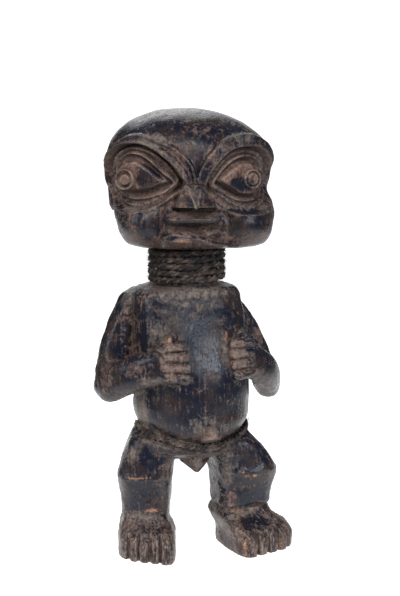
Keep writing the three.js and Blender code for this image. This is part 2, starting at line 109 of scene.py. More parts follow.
def camera():
    """A camera at the photograph's place, aimed at the middle of the figure."""
    data = bpy.data.cameras.new("camera")
    data.sensor_fit = "VERTICAL"
    data.angle = math.radians(VIEW_ANGLE)
    stand = bpy.data.objects.new("camera", data)
    heading = math.radians(HEADING)
    shift = -MM * MIDDLE
    ahead, aside = -math.cos(heading) * CAMERA_AWAY, math.sin(heading) * CAMERA_AWAY
    stand.location = Vector((aside, ahead, CAMERA_HIGH)) + shift
    aim = CAMERA_AIM + shift
    stand.rotation_euler = (aim - stand.location).to_track_quat("-Z", "Y").to_euler()
    bpy.context.scene.collection.objects.link(stand)
    bpy.context.scene.camera = stand
    return stand


eye = camera()
bpy.context.scene.view_settings.view_transform = "Standard"
print("camera stands at", [round(c, 3) for c in eye.location])

# %% [markdown]
# ## Short ways to wire a material
# All the looks here come from shader nodes, and no picture is used. The nodes could be made
# and linked one by one, as in the editor. Most of them are small sums and steps, so a few
# short methods make and link them, and a finish then reads as a list of layers.

# %% Short ways to wire nodes
class Finish:
    """A material, with a few short ways to wire its nodes."""

    def __init__(self, name):
        self.material = bpy.data.materials.new(name)
        self.material.use_nodes = True
        self.tree = self.material.node_tree
        self.shader = self.tree.nodes["Principled BSDF"]
        self.place = self.tree.nodes.new("ShaderNodeTexCoord").outputs["Object"]

    def feed(self, socket, value):
        """Links a socket to another, or sets its value."""
        if isinstance(value, bpy.types.NodeSocket):
            self.tree.links.new(value, socket)
        else:
            socket.default_value = (*value, 1) if isinstance(value, tuple) else value

    def attribute(self, name):
        """Numbers that are stored on the points of the piece."""
        node = self.tree.nodes.new("ShaderNodeAttribute")
        node.attribute_name = name
        return node.outputs["Fac"]

    def noise(self, size, detail=4, stretch=(1, 1, 1), shift=0, place=None):
        """Cloudy noise whose blotches are about size mm, or stretched along an axis."""
        mapping = self.tree.nodes.new("ShaderNodeMapping")
        self.feed(mapping.inputs["Vector"], place or self.place)
        mapping.inputs["Location"].default_value = (shift, shift * 0.7, shift * 1.3)
        mapping.inputs["Scale"].default_value = stretch
        node = self.tree.nodes.new("ShaderNodeTexNoise")
        self.feed(node.inputs["Vector"], mapping.outputs["Vector"])
        node.inputs["Scale"].default_value = 1 / (MM * size)
        node.inputs["Detail"].default_value = detail
        node.inputs["Roughness"].default_value = 0.6
        # The noise keeps near its middle, so it is stretched to the whole of 0 to 1.
        return self.step(node.outputs["Fac"], 0.25, 0.75)

    def step(self, value, low, high):
        """0 at low, 1 at high, and a smooth step between."""
        node = self.tree.nodes.new("ShaderNodeMapRange")
        node.interpolation_type = "SMOOTHSTEP"
        self.feed(node.inputs["Value"], value)
        node.inputs["From Min"].default_value = low
        node.inputs["From Max"].default_value = high
        return node.outputs["Result"]

    def math(self, kind, a, b=0):
        """The result of one Math node."""
        node = self.tree.nodes.new("ShaderNodeMath")
        node.operation = kind
        self.feed(node.inputs[0], a)
        self.feed(node.inputs[1], b)
        return node.outputs["Value"]

    def weighted(self, *pairs):
        """A sum of values, each times its weight."""
        total = 0.0
        for value, weight in pairs:
            total = self.math("ADD", self.math("MULTIPLY", value, weight), total)
        return total

    def over(self, share, under, above):
        """One colour laid over another."""
        node = self.tree.nodes.new("ShaderNodeMix")
        node.data_type = "RGBA"
        for place, value in ((0, share), (6, under), (7, above)):
            self.feed(node.inputs[place], value)
        return node.outputs[2]

    def relief(self, height, deep):
        """Bump of that depth in mm."""
        node = self.tree.nodes.new("ShaderNodeBump")
        self.feed(node.inputs["Height"], height)
        node.inputs["Distance"].default_value = deep * MM
        self.feed(self.shader.inputs["Normal"], node.outputs["Normal"])


# %% A floor of white paper that glows with painted light near the figure and behind
PAPER = {"half": 3, "front": -4, "flat": 6, "radius": 1.5, "bends": 12, "wall": 3}
PAPER_WHITE, PAPER_DIM, PAPER_GLOW = (0.88, 0.88, 0.87), (0.2, 0.2, 0.2), 0.85
# Metres beside and behind the figure from which the paper is dim, and where it is white
FADE_BESIDE, FADE_BEHIND = (0.62, 0.27), (-0.45, -0.15)
# What the camera sees widens by about this much for each metre away from it.
WIDENING = 0.16


def turn_form(form, degrees):
    """Turns a form about the vertical axis."""
    spin = Matrix.Rotation(math.radians(degrees), 3, "Z")
    bmesh.ops.rotate(form, cent=(0, 0, 0), matrix=spin, verts=form.verts)


def backdrop():
    """A floor that bends up into a wall: one edge pushed back, then up round a curve."""
    sweep = bmesh.new()
    left = sweep.verts.new((-PAPER["half"], PAPER["front"], 0))
    right = sweep.verts.new((PAPER["half"], PAPER["front"], 0))
    rim = [sweep.edges.new((left, right))]
    radius = PAPER["radius"]
    turns = [math.radians(90 * k / PAPER["bends"]) for k in range(PAPER["bends"] + 1)]
    curve = [(radius * math.sin(a), radius * (1 - math.cos(a))) for a in turns]
    bends = [(b[0] - a[0], b[1] - a[1]) for a, b in zip(curve, curve[1:])]
    for back, up in [(PAPER["flat"], 0), *bends, (0, PAPER["wall"])]:
        out = bmesh.ops.extrude_edge_only(sweep, edges=rim)["geom"]
        moved = [g for g in out if isinstance(g, bmesh.types.BMVert)]
        bmesh.ops.translate(sweep, vec=(0, back, up), verts=moved)
        rim = [g for g in out if isinstance(g, bmesh.types.BMEdge)]
    turn_form(sweep, HEADING)
    bmesh.ops.recalc_face_normals(sweep, faces=sweep.faces)
    mesh = bpy.data.meshes.new("backdrop")
    sweep.to_mesh(mesh)
    sweep.free()
    for face in mesh.polygons:
        face.use_smooth = True
    piece = bpy.data.objects.new("backdrop", mesh)
    bpy.context.scene.collection.objects.link(piece)
    mesh.materials.append(lit_paper())
    return piece


def lit_paper():
    """White paper with light of its own near the figure and behind, dim in front and beside."""
    paper = Finish("glowing_paper")
    paper.shader.inputs["Roughness"].default_value = 0.9
    paper.shader.inputs["Specular IOR Level"].default_value = 0.1
    spin = paper.tree.nodes.new("ShaderNodeMapping")
    spin.inputs["Rotation"].default_value = (0, 0, math.radians(-HEADING))
    paper.feed(spin.inputs["Vector"], paper.place)
    split = paper.tree.nodes.new("ShaderNodeSeparateXYZ")
    paper.feed(split.inputs["Vector"], spin.outputs["Vector"])
    across, behind = split.outputs["X"], split.outputs["Y"]
    view_edge = paper.math("MULTIPLY", behind, WIDENING)
    outside = paper.math("SUBTRACT", paper.math("ABSOLUTE", across), view_edge)
    beside = paper.step(outside, *FADE_BESIDE)
    lit = paper.math("MULTIPLY", beside, paper.step(behind, *FADE_BEHIND))
    paper.feed(paper.shader.inputs["Base Color"], paper.over(lit, PAPER_DIM, PAPER_WHITE))
    # The paper glows: painted light of its own where it is white, near the figure and behind.
    paper.shader.inputs["Emission Color"].default_value = (1, 1, 1, 1)
    paper.feed(paper.shader.inputs["Emission Strength"], paper.math("MULTIPLY", lit, PAPER_GLOW))
    return paper.material


floor = backdrop()
print("the floor has", len(floor.data.polygons), "faces")

# %% Soft lights
# Place, size, power and colour of each
LIGHTS = {
    "overhead": ((0.02, 1.1, 1.3), 0.85, 3.8, (0.96, 0.98, 1)),
    "window": ((0.95, -1.65, 0.72), 0.26, 20, (0.78, 0.88, 1)),
    "front": ((-0.45, -1.45, 1.5), 0.7, 29, (1, 0.98, 0.96)),
    "left": ((-1.6, -0.35, 0.8), 0.7, 12, (0.96, 0.98, 1)),
}
LIGHTS_AIM = Vector((0, 0, 0.25))
AROUND_LIGHT = 0.16


def soft_light(name, place, size, power, colour):
    """A round softbox that faces the figure."""
    data = bpy.data.lights.new(name, "AREA")
    data.shape, data.size, data.energy, data.color = "DISK", size, power, colour
    lamp = bpy.data.objects.new(name, data)
    lamp.location = place
    lamp.rotation_euler = (LIGHTS_AIM - Vector(place)).to_track_quat("-Z", "Y").to_euler()
    bpy.context.scene.collection.objects.link(lamp)


for name, light in LIGHTS.items():
    soft_light(name, *light)
world = bpy.data.worlds.new("studio")
world.use_nodes = True
world_light = world.node_tree.nodes["Background"]
world_light.inputs["Color"].default_value = (1, 1, 1, 1)
world_light.inputs["Strength"].default_value = AROUND_LIGHT
bpy.context.scene.world = world
print("soft lights:", ", ".join(LIGHTS))

# %% [markdown]
# ## Skins from levels
# Every round form of the figure is a row of level rings: how wide the log is cut at each
# height, and how far it reaches to the front and to the back. A ring could be a circle
# that is extruded again and again. It is quicker to take one flat grid, bend it round so
# that its two sides meet, weld them, and close the two ends. The rings are squared ovals,
# and between the given levels the sizes follow a smooth curve.

# %% Smooth rows and squared ovals
def through(rows, where):
    """A smooth curve through rows of numbers. where runs from 0 to 1 along them."""
    rows = np.asarray(rows, float)
    steps = np.diff(rows, axis=0)
    gaps = np.linalg.norm(steps, axis=1)
    stops = np.concatenate([[0], np.cumsum(gaps)])
    rates = steps / gaps[:, None]
    before, after = gaps[:-1, None], gaps[1:, None]
    inner = (after * rates[:-1] + before * rates[1:]) / (before + after)
    slopes = np.vstack([rates[:1], inner, rates[-1:]])
    reached = np.asarray(where, float) * stops[-1]
    k = np.clip(np.searchsorted(stops, reached, side="right") - 1, 0, len(gaps) - 1)
    t, gap = ((reached - stops[k]) / gaps[k])[:, None], gaps[k][:, None]
    start = (1 + 2 * t) * (1 - t) ** 2 * rows[k] + t * (1 - t) ** 2 * gap * slopes[k]
    end = t * t * (3 - 2 * t) * rows[k + 1] + t * t * (t - 1) * gap * slopes[k + 1]
    return start + end


def squared_oval(around, square, behind=None):
    """Shares across and ahead of a squared oval. around is 0 at the back and 0.5 in front."""
    angle = math.tau * np.asarray(around) + math.pi / 2
    c, s = np.cos(angle), np.sin(angle)
    if behind is not None:
        square = np.where(s > 0, behind, square)
    size = (np.abs(c) ** square + np.abs(s) ** square) ** (1 / square)
    return c / size, s / size


# A level is: height, middle across, middle along, half width, reach to front, to back, square
def level_points(levels, around, along, behind=None):
    """Points of a stack of levels."""
    z, x, y, wide, front, back, square = through(levels, along).T
    across, ahead = squared_oval(around, square, behind)
    reach = np.where(ahead < 0, front, back)
    return np.column_stack([x + wide * across, y + reach * ahead, z])


def skin_at(levels, x, z):
    """Where a stack of levels has its skin in front of (x, z), and the way it faces."""
    table = through(levels, np.linspace(0, 1, 200))
    rise = table[:, 0]
    wide, front, square = (np.interp(z, rise, table[:, i]) for i in (3, 4, 6))
    across = min(0.999, abs(x) / wide)
    ahead = (1 - across**square) ** (1 / square)
    aside = math.copysign(across ** (square - 1), x)
    out = np.array([aside / wide, -(ahead ** (square - 1)) / front, 0])
    return np.array([x, -front * ahead, z]), out / np.linalg.norm(out)


# %% The carving, and a grid bent into a skin
carving = bmesh.new()


def pour_into(whole, form):
    """Moves a form into a larger bmesh."""
    mesh = bpy.data.meshes.new("form")
    form.to_mesh(mesh)
    form.free()
    whole.from_mesh(mesh)
    bpy.data.meshes.remove(mesh)


def add_to_carving(form):
    """Adds a closed form to the carving, to be melted into one later."""
    pour_into(carving, form)


def bent(sides, rows, place):
    """A grid bent round, welded and closed. place gives the points for (around, along)."""
    skin = bmesh.new()
    skin.loops.layers.uv.new("round_and_along")
    bmesh.ops.create_grid(skin, x_segments=sides, y_segments=rows, size=0.5, calc_uvs=True)
    shares = np.array([vert.co[:2] for vert in skin.verts]) + 0.5
    for vert, point in zip(skin.verts, place(shares[:, 0], shares[:, 1])):
        vert.co = point
    bmesh.ops.remove_doubles(skin, verts=skin.verts, dist=1e-4)
    bmesh.ops.holes_fill(skin, edges=[edge for edge in skin.edges if edge.is_boundary])
    bmesh.ops.recalc_face_normals(skin, faces=skin.faces)
    return skin


def stack(levels, sides, rows, turn=0, shift=(0, 0, 0)):
    """A skin over levels, turned and shifted into its place."""
    def place(around, along):
        return turned(level_points(levels, around, along), turn) + np.array(shift)

    add_to_carving(bent(sides, rows, place))


print("the carving starts with", len(carving.verts), "points")

# %% [markdown]
# ## The skull
# The head is the widest part of the log, cut flat below and rounded above. Its front is
# relief carving: brow bars that meet in a V, nested rings round each eye, full cheeks, and
# a mouth cut back between them. Separate ridges could be laid on the skull, but a carver
# works down from one surface, so here one fine skin is pushed in and out. Each point of
# the skin has an address: how far round the head it is from the middle line, and how high.
# The lines of the face are drawn in those addresses, and the distance to each line sets
# the depth.

# %% Levels of the skull
SKULL_SIDES, SKULL_ROWS = 620, 300
DOME_FOOT, DOME_LEAN = 384, -3.5
NAPE_SQUARE = 2.1


def skull_levels():
    """The jaw holds the cheeks, and the left one reaches further out."""
    jaw = [
        [CHIN + 0.5, 8, 0, 57, 42, 38, 2.4],
        [CHIN + 4, 7.5, 0, 66, 48, 45, 2.6],
        [CHIN + 12, 7, 0, 71.5, 53, 50, 2.7],
        [322, 6.5, 0, 74, 56, 54, 2.8],
        [332, 6, 0, 76, 57, 57, 2.8],
        [339, 5, 0, 75.5, 57, 59, 2.7],
        [346, 3, 0, 74.3, 56.5, 60, 2.6],
        [356, 0.5, 0, 73, 56.5, 61.5, 2.5],
        [370, 0, 0, 73.5, 59, 61.5, 2.4],
    ]
    dome = []
    for rise in (0, 0.26, 0.48, 0.68, 0.84, 0.94, 0.99):
        share = math.sqrt(1 - rise * rise)
        height = mix(DOME_FOOT, TOP, rise)
        dome.append([height, DOME_LEAN * rise, 0, 76 * share, 61 * share, 61 * share, 2.2])
    return jaw + dome


SKULL = skull_levels()
print("the skull has", len(SKULL), "levels")

# %% Lines of the face, as (millimetres round from its middle, height)
EYES = {
    -1: {
        "top": [
            (1.5, 357), (1, 364), (0, 371), (-1.5, 376.5), (-4.5, 381.5), (-9, 387),
            (-15.5, 392.5), (-22.5, 397), (-29, 399.5), (-36, 402.5), (-47, 406), (-58, 405.5),
            (-67.5, 402.5), (-81, 395.5), (-94, 388), (-101, 379), (-106, 368), (-107, 356),
        ],
        "socket": [
            (-5.5, 359.5), (-13.5, 370.7), (-19, 379), (-29.4, 388.2), (-37.5, 393.4),
            (-46.5, 397.6), (-56.4, 398.8), (-70, 397), (-82.5, 392.9), (-93, 385.7),
            (-101, 374), (-103, 360), (-95, 346), (-82, 338.5), (-66, 335), (-55, 336),
            (-45, 338.5), (-35, 342), (-26, 347), (-14, 354),
        ],
        "lid": [
            (-13.3, 366), (-22, 376.6), (-31.3, 384), (-40, 389.7), (-50, 393), (-61.3, 394),
            (-72, 393), (-83, 388), (-92, 380), (-96, 368), (-92, 356), (-80, 347),
            (-66, 343), (-57, 342), (-46.8, 343.2), (-38, 346.5), (-26.6, 352), (-18, 358.5),
        ],
        "rim": [
            (-17.3, 362), (-20.8, 366.5), (-28.2, 371), (-37, 379), (-46.6, 386),
            (-54, 388.7), (-61.6, 389), (-70, 387.6), (-78, 383.5), (-85, 376), (-87, 366),
            (-83, 357), (-73.7, 351), (-60, 347.4), (-46.3, 348), (-33.9, 351.6), (-24.8, 356),
        ],
        "ball": [
            (-22, 363.5), (-27.5, 367.5), (-33.2, 370.5), (-40.2, 377), (-48.7, 382.4),
            (-56, 384.4), (-63, 384), (-71, 380.5), (-78, 373), (-79, 364), (-75, 356.5),
            (-67, 353.8), (-59, 353.5), (-48.5, 353.7), (-39, 355.6), (-29.7, 359.3),
        ],
    },
    1: {
        "top": [
            (1.5, 357), (2.6, 364), (4, 370), (6, 376), (11, 385.5), (19, 395),
            (28, 402.5), (37, 404.5), (47, 406.3), (58.5, 406), (70.5, 402.5), (86, 396.5),
            (97, 388), (104, 377), (107, 366), (107, 354),
        ],
        "socket": [
            (9, 359.5), (17, 375), (24, 384), (33, 391.2), (42, 394), (51.5, 395), (60, 395),
            (70, 393.5), (84, 388.5), (96, 379), (102, 366), (99, 350), (86, 338),
            (68, 334.3), (52, 333.7), (37, 334.5), (27, 338.5), (17, 347),
        ],
        "lid": [
            (13, 364), (20, 374.5), (28, 383), (38, 388.8), (49, 391), (60, 390.6),
            (72, 388), (84, 381), (91, 370), (90, 357), (82, 347.5), (70, 341.5), (54, 339.7),
            (41, 341.5), (30, 347), (19, 356),
        ],
        "rim": [
            (17, 361.5), (23, 370), (30, 377.8), (39, 384), (50, 386.6), (62, 385.8),
            (73, 381.5), (81, 372), (81, 361), (75, 352), (64, 346.5), (52, 345),
            (41, 346.5), (31, 351.5), (22, 357.5),
        ],
        "ball": [
            (20, 363.5), (24.5, 369.6), (32.7, 376.6), (42, 381.5), (51, 382.4), (61, 380.6),
            (70, 375), (74.5, 367), (73.5, 358.5), (67.5, 352), (59, 349.3), (51, 348.8),
            (42, 350.2), (33, 355.4), (25, 360.6),
        ],
    },
}
# Height of the brow across its band, from its top line to the edge over the eye.
BROW_BAND = {
    -1: ([0, 0.1, 0.3, 0.48, 0.6, 0.9, 1], [5.0, 5.0, 2.0, 2.8, 5.4, 6.4, 5.8]),
    1: ([0, 0.12, 0.4, 0.75, 0.92, 1], [6.0, 6.0, 5.2, 4.2, 4.0, 2.8]),
}
SOCKET_FLOOR, BALL_RISE = -6.4, 10.5
# Middle of the ball across and in height, and how far its roundness reaches
BALLS = {-1: (-58, 368, 40, 23), 1: (51, 366, 36, 23)}
drawn = [len(line) for lines in EYES.values() for line in lines.values()]
print("the eyes and brows are drawn with", sum(drawn), "points")


# %% Distance to a line, with a sign
def rounded(line, closed, times=3):
    """A line with its corners cut off again and again, until it is a smooth curve."""
    line = np.asarray(line, float)
    for _ in range(times):
        ahead = np.roll(line, -1, axis=0)
        pairs = np.stack([0.75 * line + 0.25 * ahead, 0.25 * line + 0.75 * ahead], axis=1)
        if closed:
            line = pairs.reshape(-1, 2)
        else:
            line = np.vstack([line[:1], pairs[:-1].reshape(-1, 2), line[-1:]])
    return line


def away_from(spots, line, closed):
    """Distance from spots to a line: above 0 inside a loop, or left of an open line."""
    start = line if closed else line[:-1]
    step = (np.roll(line, -1, axis=0) - line) if closed else np.diff(line, axis=0)
    nearest = np.full(len(spots), 1e9)
    left = np.zeros(len(spots))
    crossings = np.zeros(len(spots), bool)
    for (ax, az), (dx, dz) in zip(start, step):
        px, pz = spots[:, 0] - ax, spots[:, 1] - az
        t = np.clip((px * dx + pz * dz) / (dx * dx + dz * dz), 0, 1)
        gap = np.hypot(px - t * dx, pz - t * dz)
        closer = gap < nearest
        nearest = np.where(closer, gap, nearest)
        left = np.where(closer, dx * pz - dz * px, left)
        if closed and dz != 0:
            between = (az > spots[:, 1]) != (az + dz > spots[:, 1])
            crossings ^= between & (px < dx * pz / dz)
    sign = np.where(crossings, 1, -1) if closed else np.sign(left)
    return sign * nearest


# %% Relief of the eyes and brows
NICKS = {"from": 0.1, "to": 0.52, "gap": 2.7, "half": 0.9, "deep": 1.5, "off_rim": 2.6}
LID = {"rise": 4.0, "half": 2.3}
RIM = {"rise": 4.8, "half": 1.5}
SOCKET_CREST = {"rise": 1.3, "half": 1.3}
# The brow fades out down the temple between these heights.
BROW_FADE = (346, 366)


def cut_edge(into, wide):
    """0 at an edge and 1 beyond it: a sharp shoulder that runs out softly below."""
    share = np.clip(into / wide, 0, 1)
    return 1 - (1 - share) ** 2


def nicks(spots, rim):
    """A row of knife nicks in the groove over the eye's rim."""
    steps = np.linalg.norm(np.diff(rim, axis=0), axis=1)
    stops = np.concatenate([[0], np.cumsum(steps)])
    middle = rim.mean(axis=0)
    depth = np.zeros(len(spots))
    for stop in np.arange(NICKS["from"] * stops[-1], NICKS["to"] * stops[-1], NICKS["gap"]):
        spot = np.array([np.interp(stop, stops, rim[:, i]) for i in (0, 1)])
        spot += NICKS["off_rim"] * (spot - middle) / np.linalg.norm(spot - middle)
        away = np.hypot(spots[:, 0] - spot[0], spots[:, 1] - spot[1])
        depth = np.maximum(depth, bump(away, NICKS["half"]))
    return -NICKS["deep"] * depth


def eye_relief(spots, side):
    """How far the skin is pushed out round one eye and its brow, and what lies below its top."""
    lines = {name: rounded(line, name != "top") for name, line in EYES[side].items()}
    below_top = -side * away_from(spots, lines["top"], False)
    into = away_from(spots, lines["socket"], True)
    height = spots[:, 1]
    brow = ramp(height, *BROW_FADE)
    share = np.clip(below_top / np.maximum(below_top + np.maximum(-into, 0), 1e-6), 0, 1)
    band = np.interp(share, *BROW_BAND[side])
    edge = BROW_BAND[side][1][0]
    flush = mix(0.12, 0.5, ramp(np.abs(spots[:, 0]), 14, 45))
    forehead = edge * (flush * bump(below_top, 8) + (1 - flush) * bump(below_top, 0.8))
    outside = brow * np.where(below_top > 0, band, forehead)
    inner_edge = brow * BROW_BAND[side][1][-1]
    floor = mix(inner_edge, SOCKET_FLOOR, cut_edge(into, mix(6, 2.4, brow)))
    # A groove follows the upper edge of the socket, just below the brow.
    floor -= 3 * brow * bump(into - 2.2, 1.3)
    lid = LID["rise"] * bump(away_from(spots, lines["lid"], True), LID["half"])
    rim = RIM["rise"] * bump(away_from(spots, lines["rim"], True), RIM["half"])
    crest = SOCKET_CREST["rise"] * bump(into + SOCKET_CREST["half"], SOCKET_CREST["half"])
    outside += crest * ramp(352 - height, 0, 8)
    inside = floor + (lid + rim) * ramp(into, 0.5, 3)
    ball = away_from(spots, lines["ball"], True)
    across, middle, wide, tall = BALLS[side]
    round_away = np.hypot((spots[:, 0] - across) / wide, (height - middle) / tall)
    rise = BALL_RISE * np.sqrt(np.clip(1.1 - round_away**2, 0.06, 1)) * cut_edge(ball, 4)
    inside = np.where(ball > 0, SOCKET_FLOOR - 0.8 + rise, inside)
    return np.where(into > 0, inside + nicks(spots, lines["rim"]), outside), below_top > 0


# %% Relief of the mouth and cheeks
MOUTH_ZONE = [
    (-29.5, 341), (-33, 333), (-33.5, 318), (-32, 308), (-30, 294), (32, 294), (36, 306),
    (37.5, 318), (36, 328), (31, 336), (25, 344), (15, 353), (8, 361), (-4, 361), (-12, 354),
    (-23, 347),
]
MOUTH_DEEP = 5.6
FURROW = {"deep": 2, "into": 2.5, "half": 1.8}
OPENING = {"half": 29, "z": 320, "high": 6.5, "deep": 3.2}
UNDER_NOSE = {"middle": 1, "half": 22, "z": 337.6, "high": 1.7, "deep": 5.5}
CHEEK = {"middle": 2, "aside": 52, "z": 322, "wide": 20, "high": 15, "full": 8}
UPPER_LIP = {"middle": -0.3, "half": 26, "crease": 329.4, "up": 2.6, "down": 7.6, "reach": 9.5}
LOWER_LIP = {
    "middle": 1, "half": 33.5, "arch_reach": 5.5, "crease_reach": 10.5, "foot_reach": 9, "foot": 5,
}
# Across, height of the arch behind, and of the crease in front
LOWER_LIP_LINE = [
    (-31, 312.8, 312), (-27.5, 314.2, 311.2), (-19, 316.6, 308.6), (-12, 317.4, 309.6),
    (-5, 317.4, 311), (5, 314.8, 310.6), (13, 311.8, 308), (22.5, 307.8, 305), (33, 304.6, 303.6),
]


def upper_lip(across, height):
    """A lens with a sharp line along its top, and a face that slopes back below it."""
    size = UPPER_LIP
    away = np.clip(np.abs(across - size["middle"]) / size["half"], 0, 1)
    above = height - size["crease"]
    tall = np.where(above > 0, size["up"], size["down"] * (1 - away**2.4) + 0.3)
    share = np.clip(np.abs(above) / tall, 0, 1)
    body = np.where(above > 0, 1 - share**2, mix(1, 0.45, share) * ramp(1 - share, 0, 0.18))
    return size["reach"] * (1 - away**3) ** 0.6 * body


def lower_lip(across, height):
    """A broad lip whose upper face rises forward to a crease near the chin."""
    size = LOWER_LIP
    at, arch_line, crease_line = zip(*LOWER_LIP_LINE)
    arch = np.interp(across, at, arch_line)
    crease = np.interp(across, at, crease_line)
    share = np.clip((height - crease) / (arch - crease), 0, 1)
    face = mix(size["crease_reach"], size["arch_reach"], share)
    below = np.clip((crease - height) / size["foot"], 0, 1)
    front = mix(size["crease_reach"], size["foot_reach"], below)
    body = np.where(height > crease, face, front) * ramp(arch - height, -1.2, 0.2)
    away = np.clip(np.abs(across - size["middle"]) / size["half"], 0, 1)
    return body * (1 - away**4) ** 0.7


def mouth_relief(spots):
    """The mouth is cut back between the cheeks, and the lips are left standing in it."""
    across, height = spots[:, 0], spots[:, 1]
    into = away_from(spots, rounded(MOUTH_ZONE, True), True)
    below_nose = ramp(338 - height, 0, 3)
    # The cut is sharp beside the nose and softer beside the lips.
    soft = mix(3, 9, ramp(335 - height, 0, 8))
    cut = -MOUTH_DEEP * ramp(into, -soft, 3) * mix(0.8, 1, below_nose)
    size = FURROW
    furrow = -size["deep"] * bump(into - size["into"], size["half"])
    furrow = furrow * ramp(np.abs(across), 24, 29) * below_nose
    size = OPENING
    from_opening = np.hypot(across / size["half"], (height - size["z"]) / size["high"])
    opening = -size["deep"] * ramp(1 - from_opening, 0, 0.4)
    size = UNDER_NOSE
    under_nose = -size["deep"] * ramp(size["half"] - np.abs(across - size["middle"]), 0, 2)
    under_nose *= bump(height - size["z"], size["high"])
    size = CHEEK
    aside = np.abs(across - size["middle"]) - size["aside"]
    from_cheek = np.hypot(aside / size["wide"], (height - size["z"]) / size["high"])
    full_cheek = size["full"] * bump(from_cheek, 1) * ramp(342 - height, 0, 5)
    lips = np.maximum(upper_lip(across, height), lower_lip(across, height))
    return cut + furrow + opening + under_nose + full_cheek + lips * ramp(into, -1, 2)


# How far round the head and how high the face reaches
FACE_HALF, FACE_TOP = 128, 424


def skull_points(around, along):
    """The skull with its relief, one row of the grid for each height."""
    plain = level_points(SKULL, around, along, NAPE_SQUARE)
    plain = plain.reshape(SKULL_ROWS + 1, SKULL_SIDES + 1, 3)
    step = np.linalg.norm(np.diff(plain[:, :, :2], axis=1), axis=2)
    address = np.concatenate([np.zeros((SKULL_ROWS + 1, 1)), np.cumsum(step, axis=1)], 1)
    front = slice(SKULL_SIDES // 4, 3 * SKULL_SIDES // 4)
    for row, ring in zip(address, plain):
        row -= np.interp(0, ring[front, 0], row[front])
    along_ring = np.gradient(plain[:, :, :2], axis=1)
    along_ring /= np.linalg.norm(along_ring, axis=2, keepdims=True)
    out = np.stack([along_ring[..., 1], -along_ring[..., 0]], axis=2)
    spots = np.column_stack([address.ravel(), plain[:, :, 2].ravel()])
    face = (np.abs(spots[:, 0]) < FACE_HALF) & (spots[:, 1] < FACE_TOP)
    near = spots[face]
    (right, below_right), (left, below_left) = eye_relief(near, -1), eye_relief(near, 1)
    # Between the two brow bars the higher one counts, and elsewhere the eye of that side.
    side = mix(right, left, ramp(near[:, 0], 1, 3))
    eyes = np.where(below_right | below_left, side, np.maximum(right, left))
    push = np.zeros(len(spots))
    push[face] = eyes + mouth_relief(near)
    fade = ramp(FACE_HALF - np.abs(spots[:, 0]), 0, 14) * ramp(FACE_TOP - spots[:, 1], 0, 8)
    plain[:, :, :2] += out * (push * fade).reshape(address.shape)[..., None]
    return plain.reshape(-1, 3)


def on_head(points):
    """From the head's own frame to the carving's."""
    return turned(points, HEAD_TURN) + np.array([HEAD_X, 0, 0])


add_to_carving(bent(SKULL_SIDES, SKULL_ROWS, lambda a, b: on_head(skull_points(a, b))))
print("skull:", len(carving.verts), "points")

# %% [markdown]
# ## Ears, nose and pupils
# These stand clear of the skull, so each is a form of its own. The ears are half discs
# with a hollow, so a squashed sphere does. The nose is cut with flat planes: the hull of a
# few corners. The pupils are short tubes with a ring and a button, turned as if on a lathe.

# %% Ears
EAR = {"x": 69.5, "y": 20, "z": 363, "thick": 6.3, "long": 14, "high": 31}
# The hollow as shares of the ear: its middle along, half length, half height and depth
EAR_HOLLOW = {"y": -0.1, "long": 0.62, "high": 0.74, "deep": 0.62}


def ear(side):
    """A squashed sphere with a hollow pushed into its outer face."""
    disc = bmesh.new()
    bmesh.ops.create_uvsphere(disc, u_segments=64, v_segments=48, radius=1)
    for vert in disc.verts:
        along = (vert.co.y - EAR_HOLLOW["y"]) / EAR_HOLLOW["long"]
        inner = ramp(1 - math.hypot(along, vert.co.z / EAR_HOLLOW["high"]), 0, 0.45)
        if vert.co.x * side > 0:
            vert.co.x -= side * EAR_HOLLOW["deep"] * float(inner)
    bmesh.ops.scale(disc, vec=(EAR["thick"], EAR["long"], EAR["high"]), verts=disc.verts)
    place = (side * EAR["x"], EAR["y"], EAR["z"])
    bmesh.ops.translate(disc, vec=place, verts=disc.verts)
    to_head(disc)
    add_to_carving(disc)


def to_head(form):
    """Turns a form from the head's own frame into the carving's."""
    turn_form(form, HEAD_TURN)
    bmesh.ops.translate(form, vec=(HEAD_X, 0, 0), verts=form.verts)


for side in (-1, 1):
    ear(side)
print("with ears:", len(carving.verts), "points")

# %% Nose
# Corners as (across, how far before the face, height): the bridge, the wings and the tip
NOSE_FRONT = -53.2
NOSE_BRIDGE = [(-11, 8.5, 360.8), (7.8, 8.5, 358)]
NOSE_WINGS = [(-19, 3.5, 340), (18, 3.5, 340)]
NOSE_TIP = [(-1.8, 16, 340.6), (0.8, 16, 340.6)]
# How far behind the face the nose starts, and how much higher its bridge does there
NOSE_BACK, BRIDGE_RISE = -14, 5
NOSE_FACET = {"narrow": 0.72, "shift": -0.6, "low": 1, "proud": 1.8, "thick": 4}


def nose():
    """A facet narrowing to the tip, and a wing on each side."""
    back = [(across, NOSE_BACK, height + BRIDGE_RISE) for across, _, height in NOSE_BRIDGE]
    back += [(across, NOSE_BACK, height) for across, _, height in NOSE_WINGS]
    nose_hull(NOSE_BRIDGE + NOSE_WINGS + NOSE_TIP + back)
    # The middle facet is cut a little proud of the two beside it.
    size, facet = NOSE_FACET, []
    for across, reach, height in NOSE_BRIDGE + NOSE_TIP:
        for rise in (size["proud"], -size["thick"]):
            narrow = size["narrow"] * across + size["shift"]
            facet.append((narrow, reach + rise, height - size["low"]))
    nose_hull(facet)


def nose_hull(corners):
    """A form of the nose, from corners before the face."""
    places = [(across + FACE_X, NOSE_FRONT - reach, height) for across, reach, height in corners]
    form = hull_of(places)
    to_head(form)
    add_to_carving(form)


def hull_of(corners):
    """The convex hull of some corners, without those that lie inside it."""
    form = bmesh.new()
    for corner in corners:
        form.verts.new(corner)
    bmesh.ops.convex_hull(form, input=form.verts)
    bmesh.ops.delete(form, geom=[v for v in form.verts if not v.link_faces], context="VERTS")
    bmesh.ops.recalc_face_normals(form, faces=form.faces)
    return form


